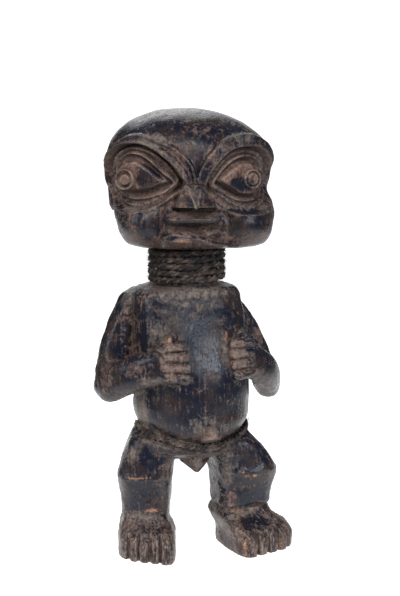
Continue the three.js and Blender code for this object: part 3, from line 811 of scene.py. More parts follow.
nose()
print("with nose:", len(carving.verts), "points")

# %% Pupils
# Middle across, radius, how far it stands out, and the button's radius, rise and shift
PUPILS = {-1: (-60, 9.4, 9.6, 5.2, 3.2, 1.9), 1: (50.5, 8.8, 8.4, 5.6, 1.2, -0.4)}
PUPIL_Z = 365.5


def spun(profile, shift):
    """A profile of (radius, height) spun round an axis that points to the front."""
    form = bmesh.new()
    verts = [form.verts.new((r, -height, 0)) for r, height in profile]
    edges = [form.edges.new(pair) for pair in zip(verts, verts[1:])]
    bmesh.ops.spin(
        form, geom=verts + edges, cent=(0, 0, 0), axis=(0, 1, 0), angle=math.tau,
        steps=72, use_merge=True,
    )
    bmesh.ops.remove_doubles(form, verts=form.verts, dist=1e-3)
    bmesh.ops.recalc_face_normals(form, faces=form.faces)
    bmesh.ops.translate(form, vec=(shift, 0, 0), verts=form.verts)
    return form


def pupil(side):
    """A ring with a sunk floor, and a button that stands in it, not quite in the middle."""
    across, radius, reach, button, rise, shift = PUPILS[side]
    ring = [
        (0, -6), (radius + 1, -6), (radius + 0.4, reach - 3), (radius, reach - 0.6),
        (radius - 0.6, reach), (radius - 1.3, reach - 0.4), (radius - 1.8, reach - 2),
        (0, reach - 2),
    ]
    knob = [
        (0, -6), (button, -6), (button, reach - 1), (button - 0.5, reach + rise - 0.4),
        (button - 1.2, reach + rise), (button - 2, reach + rise - 0.7), (0, reach + rise - 0.5),
    ]
    place, out = skin_at(SKULL, across, PUPIL_Z)
    heading = Matrix.Rotation(0.65 * math.atan2(out[0], -out[1]), 3, "Z")
    for form in (spun(ring, 0), spun(knob, shift)):
        bmesh.ops.rotate(form, cent=(0, 0, 0), matrix=heading, verts=form.verts)
        bmesh.ops.translate(form, vec=Vector(place) + Vector((FACE_X, 0, 0)), verts=form.verts)
        to_head(form)
        add_to_carving(form)


for side in (-1, 1):
    pupil(side)
print("head:", len(carving.verts), "points")

# %% [markdown]
# ## Neck, trunk and arms
# The neck is a plain post that the rope hides. The belly is half an oval seen from the
# front and squarer from the side, and the chest above it is nearly square. The trunk is
# turned a little to the figure's left. The upper arms are slabs behind the edge of the
# chest, and the forearms are limbs along a curved route that ends in four fingers.

# %% Neck and trunk
def neck():
    """A round post that reaches into the head and the trunk."""
    post = bmesh.new()
    length = CHIN - SHOULDER + 2 * NECK["hidden"]
    bmesh.ops.create_cone(
        post, cap_ends=True, segments=96, radius1=NECK["radius"], radius2=NECK["radius"],
        depth=length,
    )
    place = (NECK["x"], NECK["y"], (CHIN + SHOULDER) / 2)
    bmesh.ops.translate(post, vec=place, verts=post.verts)
    add_to_carving(post)


def trunk_levels():
    """A rounded underside, the belly, and the flatter chest up to the shoulders."""
    under = []
    for drop in (0.985, 0.92, 0.78, 0.55, 0.28):
        wide = mix(14, 56, math.sqrt(1 - drop**2))
        front = mix(20, 59, (1 - drop**2.8) ** (1 / 2.8))
        under.append([mix(BELLY, BELLY_FOOT, drop), 1, 0, wide, front, 38, 2.1])
    return under + [
        [BELLY, 0.5, 0, 56, 59, 38, 2.1],
        [164, 0.5, 0, 55, 60.2, 39, 2.2],
        [187, 0, 0, 53.8, 57.5, 40, 2.4],
        [210, -2, 0, 54.5, 51.3, 42, 2.7],
        [232, -4, 0, 54, 43.6, 42, 3],
        [246, -5, 0, 53, 38.8, 41, 3],
        [255, -5, 0, 51, 36.4, 39, 3],
        [260, -4, 0, 47, 35, 37, 2.8],
        [SHOULDER, -4, 0, 38, 29, 32, 2.4],
    ]


TRUNK = trunk_levels()
neck()
stack(TRUNK, 160, 120, TRUNK_TURN)
print("with trunk:", len(carving.verts), "points")


# %% Limbs along a route
# A station is: across, along, height, half height, half thickness
def limb(stations, sides=40, rows=48, square=2.3):
    """A squared tube along a smooth route, turned with the trunk."""
    def place(around, along):
        share = np.unique(np.round(along, 6))
        line = through(stations, share)
        ahead = np.gradient(line[:, :3], axis=0)
        ahead /= np.linalg.norm(ahead, axis=1, keepdims=True)
        across = np.cross([0, 0, 1], ahead)
        across /= np.linalg.norm(across, axis=1, keepdims=True)
        up = np.cross(ahead, across)
        k = np.searchsorted(share, np.round(along, 6))
        c, s = squared_oval(around, square)
        tall, flat = line[k, 3, None], line[k, 4, None]
        points = line[k, :3] + across[k] * flat * c[:, None] + up[k] * tall * s[:, None]
        return turned(points, TRUNK_TURN)

    add_to_carving(bent(sides, rows, place))


# %% Arms
ELBOW, ELBOW_THICK = 153, 7
# Height and how far out the arm reaches
UPPER_ARM = {
    -1: [
        (ELBOW, 84.5), (157, 88.5), (176, 91), (198, 87), (220, 80), (240, 71), (253, 62.5),
        (259, 51),
    ],
    1: [(ELBOW, 87), (157, 92), (172, 94), (190, 88), (210, 78), (230, 66), (248, 50), (258, 38)],
}
UPPER_ARM_ROOT = 48
# How much thicker the arm is for each millimetre above the elbow
ARM_GROWTH = 1.6
FOREARM = [
    [74, 25, 168, 5, 4], [79, 18, 164, 11, 9], [79.5, 7, 167, 15.5, 12],
    [72.5, -10, 176.5, 16.5, 12.5], [63, -27, 184.5, 16.5, 12], [52, -40, 190.5, 16, 10.5],
    [42, -47.5, 195, 16, 8.5], [33, -49.5, 197, 15.5, 5], [25, -52, 198, 14, 2.5],
]
# The left elbow stands out further and lies lower than the right one.
LEFT_ELBOW = {"out": 5, "low": 8}


def arm(side):
    """An upper arm like a slab, and a forearm that bends round to the belly."""
    levels = []
    for z, out in UPPER_ARM[side]:
        thick = ELBOW_THICK + ARM_GROWTH * (z - ELBOW)
        root = min(max(UPPER_ARM_ROOT, out - thick), out - ELBOW_THICK)
        levels.append([z, side * (out + root) / 2, 12, (out - root) / 2, 14, 17, 2.6])
    stack(levels, 72, 80, TRUNK_TURN)
    stations = []
    for x, y, z, tall, flat in FOREARM:
        share = float(ramp(x, 35, 78)) if side > 0 else 0
        x, z = x + share * LEFT_ELBOW["out"], z - share * LEFT_ELBOW["low"]
        stations.append([side * x, y, z, tall, flat])
    limb(stations)


# %% Hands
FINGERS = 4
FINGER = {"high": 8.9, "from": 45, "to": 20.5, "deep": 5.6, "knuckle": -52.5}
HAND_Z = 198
# How much lower the tip lies than the knuckle, and how far past or short of the others it ends
FINGER_TIPS = {
    -1: [(-1, 1.5), (0.5, 0), (2, -0.6), (3, 0.8)],
    1: [(0, 0.5), (1, -0.5), (2.2, 0), (3.4, 1.5)],
}
# Share of the way to the tip, and of the full thickness
FINGER_SWELL = ((0, 0.8), (0.2, 1), (0.55, 0.95), (0.85, 1), (0.96, 0.86), (1, 0.5))
# Across, height, half height and half thickness, from the root to the tip
THUMB = [(48, 205, 7.5, 6.5), (41, 211.5, 7, 6), (35.5, 217.5, 6, 5), (31.5, 222, 4, 3.5)]
THUMB_FOOT = -50


def finger(side, index):
    """A roll laid across the belly, from the back of the hand to a blunt end."""
    drop, short = FINGER_TIPS[side][index]
    z = HAND_Z + FINGER["high"] * (FINGERS / 2 - index - 0.5)
    tip = skin_at(TRUNK, side * FINGER["to"], z)[0][1]
    stations = []
    for share, full in FINGER_SWELL:
        x = mix(FINGER["from"], FINGER["to"] + short, share)
        y = mix(FINGER["knuckle"], tip - 2, share)
        high = 0.52 * FINGER["high"] * full
        stations.append([side * x, y, z - drop * share, high, FINGER["deep"] * full])
    limb(stations, 28, 40, 2.5)


def thumb(side):
    """A shorter roll that points up the chest."""
    stations = []
    for k, (x, z, tall, flat) in enumerate(THUMB):
        share = k / (len(THUMB) - 1)
        skin = skin_at(TRUNK, side * x, z)[0][1]
        stations.append([side * x, mix(THUMB_FOOT, skin - 1.5, share), z, tall, flat])
    limb(stations, 28, 40, 2.2)


for side in (-1, 1):
    arm(side)
    thumb(side)
    for index in range(FINGERS):
        finger(side, index)
print("with arms and hands:", len(carving.verts), "points")

# %% Navel
NAVEL = {"x": 0.5, "z": 127, "half": 8.8, "reach": 6.5, "rim": 2.4, "sunk": 3.2, "round": 2.2}


def navel():
    """A cube with its front face inset and pushed in, and its edges rounded."""
    knob = bmesh.new()
    bmesh.ops.create_cube(knob, size=2 * NAVEL["half"])
    front = min(knob.faces, key=lambda face: face.calc_center_median().y)
    rim = [edge for edge in knob.edges if abs(edge.verts[0].co.y - edge.verts[1].co.y) > 1]
    bmesh.ops.inset_individual(knob, faces=[front], thickness=NAVEL["rim"], depth=-NAVEL["sunk"])
    bmesh.ops.bevel(
        knob, geom=[e for e in rim if e.is_valid], offset=NAVEL["round"], segments=4,
        profile=0.5, affect="EDGES", material=-1,
    )
    skin = skin_at(TRUNK, NAVEL["x"], NAVEL["z"])[0][1]
    place = (NAVEL["x"], skin - NAVEL["reach"] + NAVEL["half"], NAVEL["z"])
    bmesh.ops.translate(knob, vec=place, verts=knob.verts)
    turn_form(knob, TRUNK_TURN)
    bmesh.ops.recalc_face_normals(knob, faces=knob.faces)
    add_to_carving(knob)


navel()
print("with navel:", len(carving.verts), "points")

# %% [markdown]
# ## Hips, legs and feet
# The short legs are bent at a sharp knee. Each has its own place, turn and foot, because
# the carving is uneven. The feet are blocks, and the toes are only told apart by grooves,
# so the front of each level of the foot is pulled in at four lines.

# %% Hips
HIPS = [
    [96, 3, 4, 38, 26, 30, 2.6], [102, 2, 2, 48, 37, 36, 2.6], [107, 0, 0, 53, 44, 39, 2.5],
    [114, -1, 0, 55.5, 45, 39, 2.4], [130, 0, 2, 52, 36, 37, 2.3],
]
BUTTOCK = {"x": 25, "y": 18, "z": 108, "wide": 28, "deep": 27, "high": 21}
WEDGE = {"x": -0.5, "y": -20, "half": 23, "top": 108, "foot": 81.5, "tip": 4, "ridge": 15}


def buttock(side):
    """A squashed ball, half sunk into the hips."""
    ball = bmesh.new()
    bmesh.ops.create_uvsphere(ball, u_segments=48, v_segments=32, radius=1)
    size = (BUTTOCK["wide"], BUTTOCK["deep"], BUTTOCK["high"])
    bmesh.ops.scale(ball, vec=size, verts=ball.verts)
    place = (side * BUTTOCK["x"], BUTTOCK["y"], BUTTOCK["z"])
    bmesh.ops.translate(ball, vec=place, verts=ball.verts)
    turn_form(ball, TRUNK_TURN)
    add_to_carving(ball)


def wedge():
    """The loins end point down between the thighs: the hull of three shrinking outlines."""
    half, low = WEDGE["half"], WEDGE["foot"]
    outline = [(half, 4), (half * 0.6, 24), (-half * 0.6, 24), (-half, 4), (-1, -WEDGE["ridge"])]
    levels = [(low, 0.1, WEDGE["tip"]), (low + 11, 0.62, WEDGE["tip"] / 2), (WEDGE["top"], 1, 0)]
    corners = []
    for z, share, shift in levels:
        for dx, dy in outline:
            corners.append((WEDGE["x"] + shift + share * dx, WEDGE["y"] + share * dy, z))
    add_to_carving(hull_of(corners))


stack(HIPS, 120, 30, TRUNK_TURN)
wedge()
for side in (-1, 1):
    buttock(side)
print("with hips:", len(carving.verts), "points")

# %% Legs
LEGS = {
    -1: {"x": -43.5, "y": 2, "turn": -10, "hip": 10, "wide": 0.97, "ankle": 0, "calf": 0.9},
    1: {"x": 51, "y": 5, "turn": 13, "hip": -25, "wide": 1.1, "ankle": 1, "calf": 1},
}
# Height, share of the way in to the hip, half width, reach to the front and to the back
LEG = [
    (ANKLE - 9, 0, 23.8, 22.6, 24), (ANKLE - 3, 0, 23.8, 22.6, 24), (ANKLE + 1, 0, 23.9, 22.8, 24),
    (ANKLE + 4, 0, 24.2, 23.2, 24), (54, 0, 24.9, 25.5, 23.8), (66, 0, 26.2, 30.5, 22.6),
    (KNEE - 4, 0, 27.5, 35.2, 22), (KNEE + 1, 0.02, 28.2, 37.2, 22.4),
    (KNEE + 6, 0.1, 27.4, 36.4, 24), (98, 0.36, 27, 35, 28), (114, 0.84, 24.5, 32, 32),
    (130, 1.05, 20, 16, 30),
]
ANKLE_CUT = 2.8
# Half width from which each calf's own fullness counts
CALF_HALF = 26.2


def leg(side):
    """A squared post, waisted above the foot and full at the knee."""
    size = LEGS[side]
    levels = []
    for z, inwards, half, front, back in LEG:
        waist = size["ankle"] * ANKLE_CUT * float(ramp(ANKLE + 4 - z, 0, 2.5))
        if z < KNEE + 8:
            half = mix(CALF_HALF, half, size["calf"])
        wide = size["wide"] * half - waist
        levels.append([z, inwards * size["hip"], 0, wide, front - waist, back, 3.4])
    stack(levels, 110, 110, size["turn"], (size["x"], size["y"], 0))


# %% Feet
FEET = {
    -1: {"turn": -9, "splay": -1, "wide": 0.97, "toes": 0.36},
    1: {"turn": 14, "splay": 14, "wide": 1.17, "toes": 0.24},
}
# Height, share of the splay, half width, reach to the toes and to the heel
FOOT = [
    (0, 1, 28.6, 42.6, 34), (4, 1, 29, 43.4, 35), (15, 1, 29, 43.2, 35),
    (21, 0.82, 28.6, 41.6, 34.6), (27, 0.5, 27, 36.5, 33.4), (33, 0.08, 24.6, 29, 31),
    (ANKLE, 0, 21.5, 22, 26), (ANKLE + 4, 0, 19, 18, 23),
]
# Where the toes part, from the inner side of the foot (-1) to the outer side (1)
TOE_GROOVES = (-0.46, -0.1, 0.28, 0.62)
TOE_DEEP, TOE_CUT, TOE_TOP, TOE_ROUND = 5, 1.25, 29, 1.1
# How far each toe stands out before the others, and how much higher it starts
TOE_REACH = (0.9, 0, -0.5, 0.2, -0.7)
TOE_RISE = (1, -1, 0.5, -1.5, -3)


def foot(side):
    """A block whose toes part at grooves in its front."""
    size = FEET[side]

    def place(around, along):
        z, out, half, front, back = through(FOOT, along).T
        across, ahead = squared_oval(around, 4.4)
        wide = size["wide"] * half
        slant = side * size["toes"] * ramp(front, 15, 40)
        y = np.where(ahead < 0, front, back) * ahead + slant * wide * across
        outer = across * side
        toes = sum(bump((outer - groove) * wide, TOE_CUT) for groove in TOE_GROOVES)
        edges = np.array([-1.1, *TOE_GROOVES, 1.1])
        k = np.clip(np.searchsorted(edges, outer) - 1, 0, len(edges) - 2)
        middle = (outer - (edges[k] + edges[k + 1]) / 2) / ((edges[k + 1] - edges[k]) / 2)
        facing = ramp(-ahead, 0.45, 0.8) * ramp(TOE_TOP + np.take(TOE_RISE, k) - z, 0, 5)
        y += facing * (TOE_DEEP * toes + TOE_ROUND * np.abs(middle) ** 3 - np.take(TOE_REACH, k))
        x = side * out * size["splay"] + wide * across
        points = turned(np.column_stack([x, y, z]), size["turn"])
        return points + np.array([LEGS[side]["x"], LEGS[side]["y"], 0])

    add_to_carving(bent(300, 70, place))


for side in (-1, 1):
    leg(side)
    foot(side)
print("all forms:", len(carving.verts), "points")

# %% [markdown]
# ## One skin
# The forms overlap, and the real figure is one piece of wood. Booleans could join them,
# but they leave knife-sharp seams. The voxel remesh lays one even skin of small squares
# over everything, and then a little smoothing softens the seams, as handling does.

# %% Melt the forms into one skin
VOXEL = 0.8


def one_skin():
    """The carving as one piece, with an even skin over all its forms."""
    mesh = bpy.data.meshes.new("carved_figure")
    carving.to_mesh(mesh)
    piece = bpy.data.objects.new("carved_figure", mesh)
    bpy.context.scene.collection.objects.link(piece)
    melt = piece.modifiers.new("one skin", "REMESH")
    melt.mode, melt.voxel_size = "VOXEL", VOXEL
    bake(piece)
    return piece


def bake(piece):
    """Applies the modifiers of a piece."""
    ready = piece.evaluated_get(bpy.context.evaluated_depsgraph_get())
    mesh = bpy.data.meshes.new_from_object(ready)
    piece.modifiers.clear()
    old = piece.data
    piece.data = mesh
    bpy.data.meshes.remove(old)


figure = one_skin()
print("one skin:", len(figure.data.vertices), "points")


# %% Tools for moving many points
def points_of(mesh):
    """The places of all points, one row each."""
    flat = np.empty(len(mesh.vertices) * 3, np.float32)
    mesh.vertices.foreach_get("co", flat)
    return flat.reshape(-1, 3).astype(float)


def put_points(mesh, points):
    """Moves all points to new places."""
    mesh.vertices.foreach_set("co", points.astype(np.float32).ravel())
    mesh.update()


def facing_of(mesh):
    """The way that the skin faces at each point."""
    flat = np.empty(len(mesh.vertices) * 3, np.float32)
    mesh.vertex_normals.foreach_get("vector", flat)
    return flat.reshape(-1, 3).astype(float)


def edges_of(mesh):
    """The two points of each edge."""
    flat = np.empty(len(mesh.edges) * 2, np.int32)
    mesh.edges.foreach_get("vertices", flat)
    return flat.reshape(-1, 2)


def smoothed(values, edges, times, strength=0.5):
    """Values moved towards the mean of their neighbours, again and again."""
    count = np.bincount(edges.ravel(), minlength=len(values)).astype(float)
    values = values.copy()
    for _ in range(times):
        total = np.stack(
            [
                np.bincount(edges[:, 0], column[edges[:, 1]], len(values))
                + np.bincount(edges[:, 1], column[edges[:, 0]], len(values))
                for column in values.T
            ],
            axis=1,
        )
        values += strength * (total / count[:, None] - values)
    return values


# %% Channel for the hip rope
HIP_ROPE = {"thick": 5.4, "rows": 480, "lay": 12, "fibres": 80}
GAP = 0.4
FOLD = {"x": 1, "y": -1, "wide": 54, "front": 47, "back": 40.5, "low": 113.5, "high": 128.5}
# The bearing at which the rope's two ends meet, in degrees
FOLD_ENDS = 200
# How fast the channel widens outwards, and how far above and below the rope it reaches
CHANNEL_SLOPE, CHANNEL_REACH = 1.5, 6


def hip_route(share):
    """The hip rope's middle line, low in front and high behind."""
    angle = math.radians(FOLD_ENDS) + math.tau * np.asarray(share)
    ahead = (1 - np.sin(angle)) / 2
    reach = np.where(np.sin(angle) < 0, FOLD["front"], FOLD["back"])
    points = np.column_stack([
        FOLD["x"] + FOLD["wide"] * np.cos(angle),
        FOLD["y"] + reach * np.sin(angle),
        mix(FOLD["high"], FOLD["low"], ahead**3),
    ])
    return turned(points, TRUNK_TURN)


def bearings(points):
    """How far round the fold's middle points are, and how far from it."""
    flat = turned(points, -TRUNK_TURN) - np.array([FOLD["x"], FOLD["y"], 0])
    return np.arctan2(flat[:, 1], flat[:, 0]), np.hypot(flat[:, 0], flat[:, 1])


def cut_channel(points):
    """Cuts the wood back to the inner side of the hip rope, and opens the channel outwards."""
    line = hip_route(np.linspace(0, 1, 361))
    line_round, line_reach = bearings(line)
    around, reach = bearings(points)
    rope_reach = np.interp(around, line_round, line_reach, period=math.tau)
    rope_height = np.interp(around, line_round, line[:, 2], period=math.tau)
    lift = np.abs(points[:, 2] - rope_height)
    radius = HIP_ROPE["thick"] / 2 + GAP
    round_floor = rope_reach - np.sqrt(np.maximum(radius**2 - lift**2, 0))
    limit = np.where(lift < radius, round_floor, rope_reach + CHANNEL_SLOPE * (lift - radius))
    cut = (lift < radius + CHANNEL_REACH) & (reach > limit)
    share = np.where(cut, limit / np.maximum(reach, 1), 1)
    middle = turned(np.array([[FOLD["x"], FOLD["y"], 0]]), TRUNK_TURN)
    points[:, :2] = middle[:, :2] + (points[:, :2] - middle[:, :2]) * share[:, None]
    return points


# %% Soften the seams and cut the channel
def soften():
    """Smooths the skin once before and once after the channel is cut."""
    mesh = figure.data
    points, edges = points_of(mesh), edges_of(mesh)
    points = smoothed(points, edges, 1)
    points = cut_channel(points)
    points = smoothed(points, edges, 1)
    put_points(mesh, points)


soften()
print("seams softened, and a channel cut for a hip rope of", HIP_ROPE["thick"], "mm")

# %% Mark with the tools
SEED = 7
chance = np.random.default_rng(SEED)
# Width of the flats that the adze and the knife leave, and the most that they press in
ADZE, KNIFE = {"wide": 14, "most": 1.3}, {"wide": 6.5, "most": 0.7}


def waves(points, length, seed):
    """A gentle random swell, between about -1 and 1, from a few crossing waves."""
    dice = np.random.default_rng(seed)
    swell = np.zeros(len(points))
    count = 14
    for _ in range(count):
        way = dice.normal(size=3)
        way *= math.tau / (length * dice.uniform(0.7, 1.5) * np.linalg.norm(way))
        swell += np.sin(points @ way + dice.uniform(0, math.tau))
    return swell / math.sqrt(count)


def flats(points, facing, wide, amount, most):
    """Presses the skin round each of many random spots to the plane that faces as it does."""
    count = int(len(points) * VOXEL**2 / wide**2)
    seeds = chance.choice(len(points), size=count, replace=False)
    tree = kdtree.KDTree(len(seeds))
    for k, seed in enumerate(seeds):
        tree.insert(points[seed], k)
    tree.balance()
    nearest = seeds[np.array([tree.find(point)[1] for point in points])]
    above = ((points - points[nearest]) * facing[nearest]).sum(1) + 0.3 * most
    alike = ramp((facing * facing[nearest]).sum(1), 0.75, 0.85)
    step = np.clip(above, -most, most) * amount * alike
    return points - facing[nearest] * step[:, None]


def tool_marks():
    """Flats, as an adze leaves, and the unevenness of a hand-cut log."""
    mesh = figure.data
    points, facing = points_of(mesh), facing_of(mesh)
    z = points[:, 2]
    # The face keeps its cut lines, and the belly and the crown are worn smooth.
    crown = 0.9 * ramp(z, 375, 395)
    face = np.maximum(ramp(z, 290, 298) * ramp(-facing[:, 1], -0.2, 0.1), crown)
    belly = bump(z - 160, 50) * (facing[:, 1] < 0)
    broad = (1 - face) * (1 - 0.8 * belly) * 0.35
    fine = mix(0.5, 0.12, face) * (1 - 0.6 * belly)
    points = flats(points, facing, ADZE["wide"], broad, ADZE["most"])
    put_points(mesh, points)
    points = flats(points, facing_of(mesh), KNIFE["wide"], fine, KNIFE["most"])
    uneven = 0.25 * waves(points, 34, seed=2) + 0.1 * waves(points, 13, seed=3)
    points += facing * uneven[:, None]
    points[:, 2] = np.maximum(points[:, 2], 0)
    put_points(mesh, points)


tool_marks()
print("tool marks of", ADZE["wide"], "and", KNIFE["wide"], "mm cut")

# %% [markdown]
# ## Where dust lies and hands have rubbed
# The finish of old wood follows its form: grooves hold dust, raised parts are handled and
# shine. A shader can't see that by itself, so it is measured here once, on the even fine
# skin, and stored on the points. Smoothing the skin tells how hollow a spot is: where the
# smoothed skin lies outside the real one there is a groove, at the scale of the smoothing.
# The same measures also set painted shade, darker in grooves and under things, and lighter crests
# that are partly a painted highlight.

# %% Measure grooves and ridges on the fine skin
HOLLOW_SCALES = {"groove": 5, "hollow": 45}


def hollows():
    """For each scale, how far the smoothed skin lies outside the skin, in mm."""
    mesh = figure.data
    points, edges, facing = points_of(mesh), edges_of(mesh), facing_of(mesh)
    depth, soft, done = {}, points, 0
    for name, times in HOLLOW_SCALES.items():
        soft = smoothed(soft, edges, times - done)
        done = times
        raw = ((soft - points) * facing).sum(1)
        depth[name] = smoothed(raw[:, None], edges, 2)[:, 0]
    return points, depth


fine_points, fine_depth = hollows()
for name, values in fine_depth.items():
    print(name, "in mm, from ridge to groove:", np.percentile(values, [1, 50, 99]).round(2))

# %% Thin the mesh where it is flat
MOST_TRIANGLES = 190000


def triangles_of(mesh):
    """How many triangles the faces of a mesh make."""
    return sum(len(face.vertices) - 2 for face in mesh.polygons)


def thin():
    """Merges faces where the skin is flat, down to the most triangles that are wanted."""
    thinner = figure.modifiers.new("thin", "DECIMATE")
    thinner.ratio = min(1, MOST_TRIANGLES / triangles_of(figure.data))
    bake(figure)


before = triangles_of(figure.data)
thin()
print("triangles:", before, "thinned to", triangles_of(figure.data))


# %% Carry the measures over, and add how open each spot is
def carried_over(points):
    """The fine skin's measures at the nearest point of the thinned one."""
    tree = kdtree.KDTree(len(fine_points))
    for k, point in enumerate(fine_points):
        tree.insert(point, k)
    tree.balance()
    nearest = np.array([tree.find(point)[1] for point in points])
    return {name: values[nearest] for name, values in fine_depth.items()}


SKY_RAYS, SKY_REACH = 12, 60


def sky(points, facing):
    """The share of the open half of the world that each point sees."""
    skin = bmesh.new()
    skin.from_mesh(figure.data)
    tree = bvhtree.BVHTree.FromBMesh(skin)
    skin.free()
    # The rays are spread over the open half as seeds are in a sunflower.
    height = (np.arange(SKY_RAYS) + 0.5) / SKY_RAYS
    turn = math.pi * (3 - math.sqrt(5)) * np.arange(SKY_RAYS)
    flat = np.sqrt(1 - height)
    local = np.column_stack([flat * np.cos(turn), flat * np.sin(turn), np.sqrt(height)])
    side = np.cross(facing, np.where(np.abs(facing[:, 2:]) < 0.9, [[0, 0, 1]], [[1, 0, 0]]))
    side /= np.linalg.norm(side, axis=1, keepdims=True)
    up = np.cross(facing, side)
    free = np.zeros(len(points))
    start = points + 0.5 * facing
    for a, b, c in local:
        ways = a * side + b * up + c * facing
        for k, (spot, way) in enumerate(zip(start.tolist(), ways.tolist())):
            free[k] += tree.ray_cast(spot, way, SKY_REACH)[0] is None
    return free / SKY_RAYS


def measure():
    """The thinned skin's points, the way they face, and all their measures."""
    mesh = figure.data
    points, facing = points_of(mesh), facing_of(mesh)
    fields = carried_over(points)
    fields["sky"] = smoothed(sky(points, facing)[:, None], edges_of(mesh), 3)[:, 0]
    return points, facing, fields


skin_points, skin_facing, fields = measure()
print("open share of the sky:", np.percentile(fields["sky"], [5, 50, 95]).round(2))

# %% [markdown]
# ## Ropes
# A rope is two strands twisted round each other. Each strand is a thin tube whose middle
# line winds round the rope's middle line. Hand-twisted fibre is never even, so the lay, the
# thickness and the route all wander a little, and many loose fibres lie along it.

# %% Strands
NECK_ROPE = {"thick": 6.2, "pitch": 6.3, "turns": 5.1, "rows": 1500, "lay": 17, "fibres": 1700}
STRAND_SIDES = 16
# As shares of the rope's thickness: how far out a strand winds, and its radius
ORBIT, STRAND_RADIUS = 0.22, 0.27
SWAY = 0.75
# How much more the fibres in a strand are twisted than the strands are
FIBRE_TWIST = 1.9


def neck_route(share):
    """The neck rope climbs by its pitch in each turn and starts at the nape."""
    angle = math.pi / 2 + math.tau * NECK_ROPE["turns"] * np.asarray(share)
    reach = NECK["radius"] + GAP + NECK_ROPE["thick"] / 2 + 0.5
    foot = SHOULDER + 2 * GAP + NECK_ROPE["thick"] / 2
    climb = NECK_ROPE["pitch"] * NECK_ROPE["turns"]
    return np.column_stack([
        NECK["x"] + reach * np.cos(angle), NECK["y"] + reach * np.sin(angle),
        foot + climb * np.asarray(share),
    ])


def wander(length, wave, seed):
    """A random curve between about -1 and 1 along a length."""
    dice = np.random.default_rng(seed)
    total = np.zeros(len(length))
    for _ in range(9):
        angle = math.tau * length / (wave * dice.uniform(0.6, 1.8))
        total += np.sin(angle + dice.uniform(0, math.tau))
    return total / 3


def rope_frame(route, rows):
    """Points along a route, with the ways ahead, to the side and up, and the length so far."""
    middle = route(np.linspace(0, 1, rows + 1))
    ahead = np.gradient(middle, axis=0)
    ahead /= np.linalg.norm(ahead, axis=1, keepdims=True)
    up = np.array([0, 0, 1.0]) - ahead * ahead[:, 2:]
    up /= np.linalg.norm(up, axis=1, keepdims=True)
    side = np.cross(ahead, up)
    steps = np.linalg.norm(np.diff(middle, axis=0), axis=1)
    return middle, ahead, side, up, np.concatenate([[0], np.cumsum(steps)])


def strand(route, rows, thick, lay, phase, seed):
    """One strand of a rope: a tube whose middle winds round the route, once in each lay."""
    middle, _, side, up, length = rope_frame(route, rows)
    twist = math.tau * length / lay + phase + 0.5 * wander(length, 30, seed)
    sway = SWAY * wander(length, 38, seed + 1)[:, None] * up
    orbit = thick * (ORBIT + 0.04 * wander(length, 22, seed + 2 + int(phase)))[:, None]
    core = middle + sway + orbit * (np.cos(twist)[:, None] * side + np.sin(twist)[:, None] * up)
    swell = 1 + 0.12 * wander(length, 17, seed + 5 + int(phase))
    # Both ends of a strand run out to a point.
    taper = np.sqrt(np.clip(np.minimum(length, length[-1] - length) / thick, 0.02, 1))

    def place(around, along):
        k = np.rint(along * rows).astype(int)
        angle = math.tau * around
        slant = angle - FIBRE_TWIST * twist[k]
        ridged = 1 + 0.11 * np.cos(5 * slant) + 0.05 * np.cos(9 * slant)
        radius = thick * STRAND_RADIUS * swell[k] * taper[k] * ridged
        return core[k] + radius[:, None] * (
            np.cos(angle)[:, None] * side[k] + np.sin(angle)[:, None] * up[k]
        )

    return bent(STRAND_SIDES, rows, place)


# %% Loose fibres and frayed ends
def fibre(start, way, sag, length, thick):
    """A hair-thin tube that bends away from its root."""
    def place(around, along):
        bend = along[:, None] * length
        line = start + way * bend + sag * bend**2 / length
        side = np.cross(way, [0.31, 0.2, 0.93])
        side /= np.linalg.norm(side)
        up = np.cross(way, side)
        angle = math.tau * around
        radius = thick * (1 - 0.75 * along)
        ring = np.cos(angle)[:, None] * side + np.sin(angle)[:, None] * up
        return line + radius[:, None] * ring

    return bent(4, 5, place)


def loose_fibres(route, rows, thick, count, seed):
    """Fibres that have come out of the rope and still run along it."""
    dice = np.random.default_rng(seed)
    middle, ahead, side, up, _ = rope_frame(route, rows)
    for _ in range(count):
        k = dice.integers(5, rows - 5)
        # Only the outer side, because the inner one lies on the wood.
        angle = dice.normal(0, 0.9)
        out = math.cos(angle) * side[k] + math.sin(angle) * up[k]
        way = ahead[k] * dice.choice([-1, 1]) + 0.32 * out + dice.normal(0, 0.2, 3)
        way /= np.linalg.norm(way)
        start = middle[k] + out * thick * 0.42
        length = dice.uniform(4, 13)
        sag = -0.35 * out + dice.normal(0, 0.12, 3)
        yield fibre(start, way, sag, length, dice.uniform(0.15, 0.3))


def tuft(place, way, count, length, seed):
    """A frayed end."""
    dice = np.random.default_rng(seed)
    for _ in range(count):
        each = np.array(way, float) + dice.normal(0, 0.4, 3)
        each /= np.linalg.norm(each)
        start = np.array(place, float) + dice.normal(0, 0.9, 3)
        sag = np.array([0, 0, -0.25]) + dice.normal(0, 0.2, 3)
        yield fibre(start, each, sag, length * dice.uniform(0.5, 1.2), dice.uniform(0.2, 0.38))


# %% A rope from its strands, fibres and knots
def joined(name, forms):
    """One piece from many forms."""
    whole = bmesh.new()
    for form in forms:
        pour_into(whole, form)
    mesh = bpy.data.meshes.new(name)
    whole.to_mesh(mesh)
    whole.free()
    piece = bpy.data.objects.new(name, mesh)
    bpy.context.scene.collection.objects.link(piece)
    print(name, "has", len(mesh.polygons), "faces")
    return piece


def strands(route, rows, thick, lay, seed):
    """The two strands of a rope, half a turn apart."""
    return [strand(route, rows, thick, lay, phase, seed) for phase in (0, math.pi)]


def rope_length(route):
    """The length of a rope's middle line, in metres."""
    return float(rope_frame(route, 2000)[4][-1]) * MM


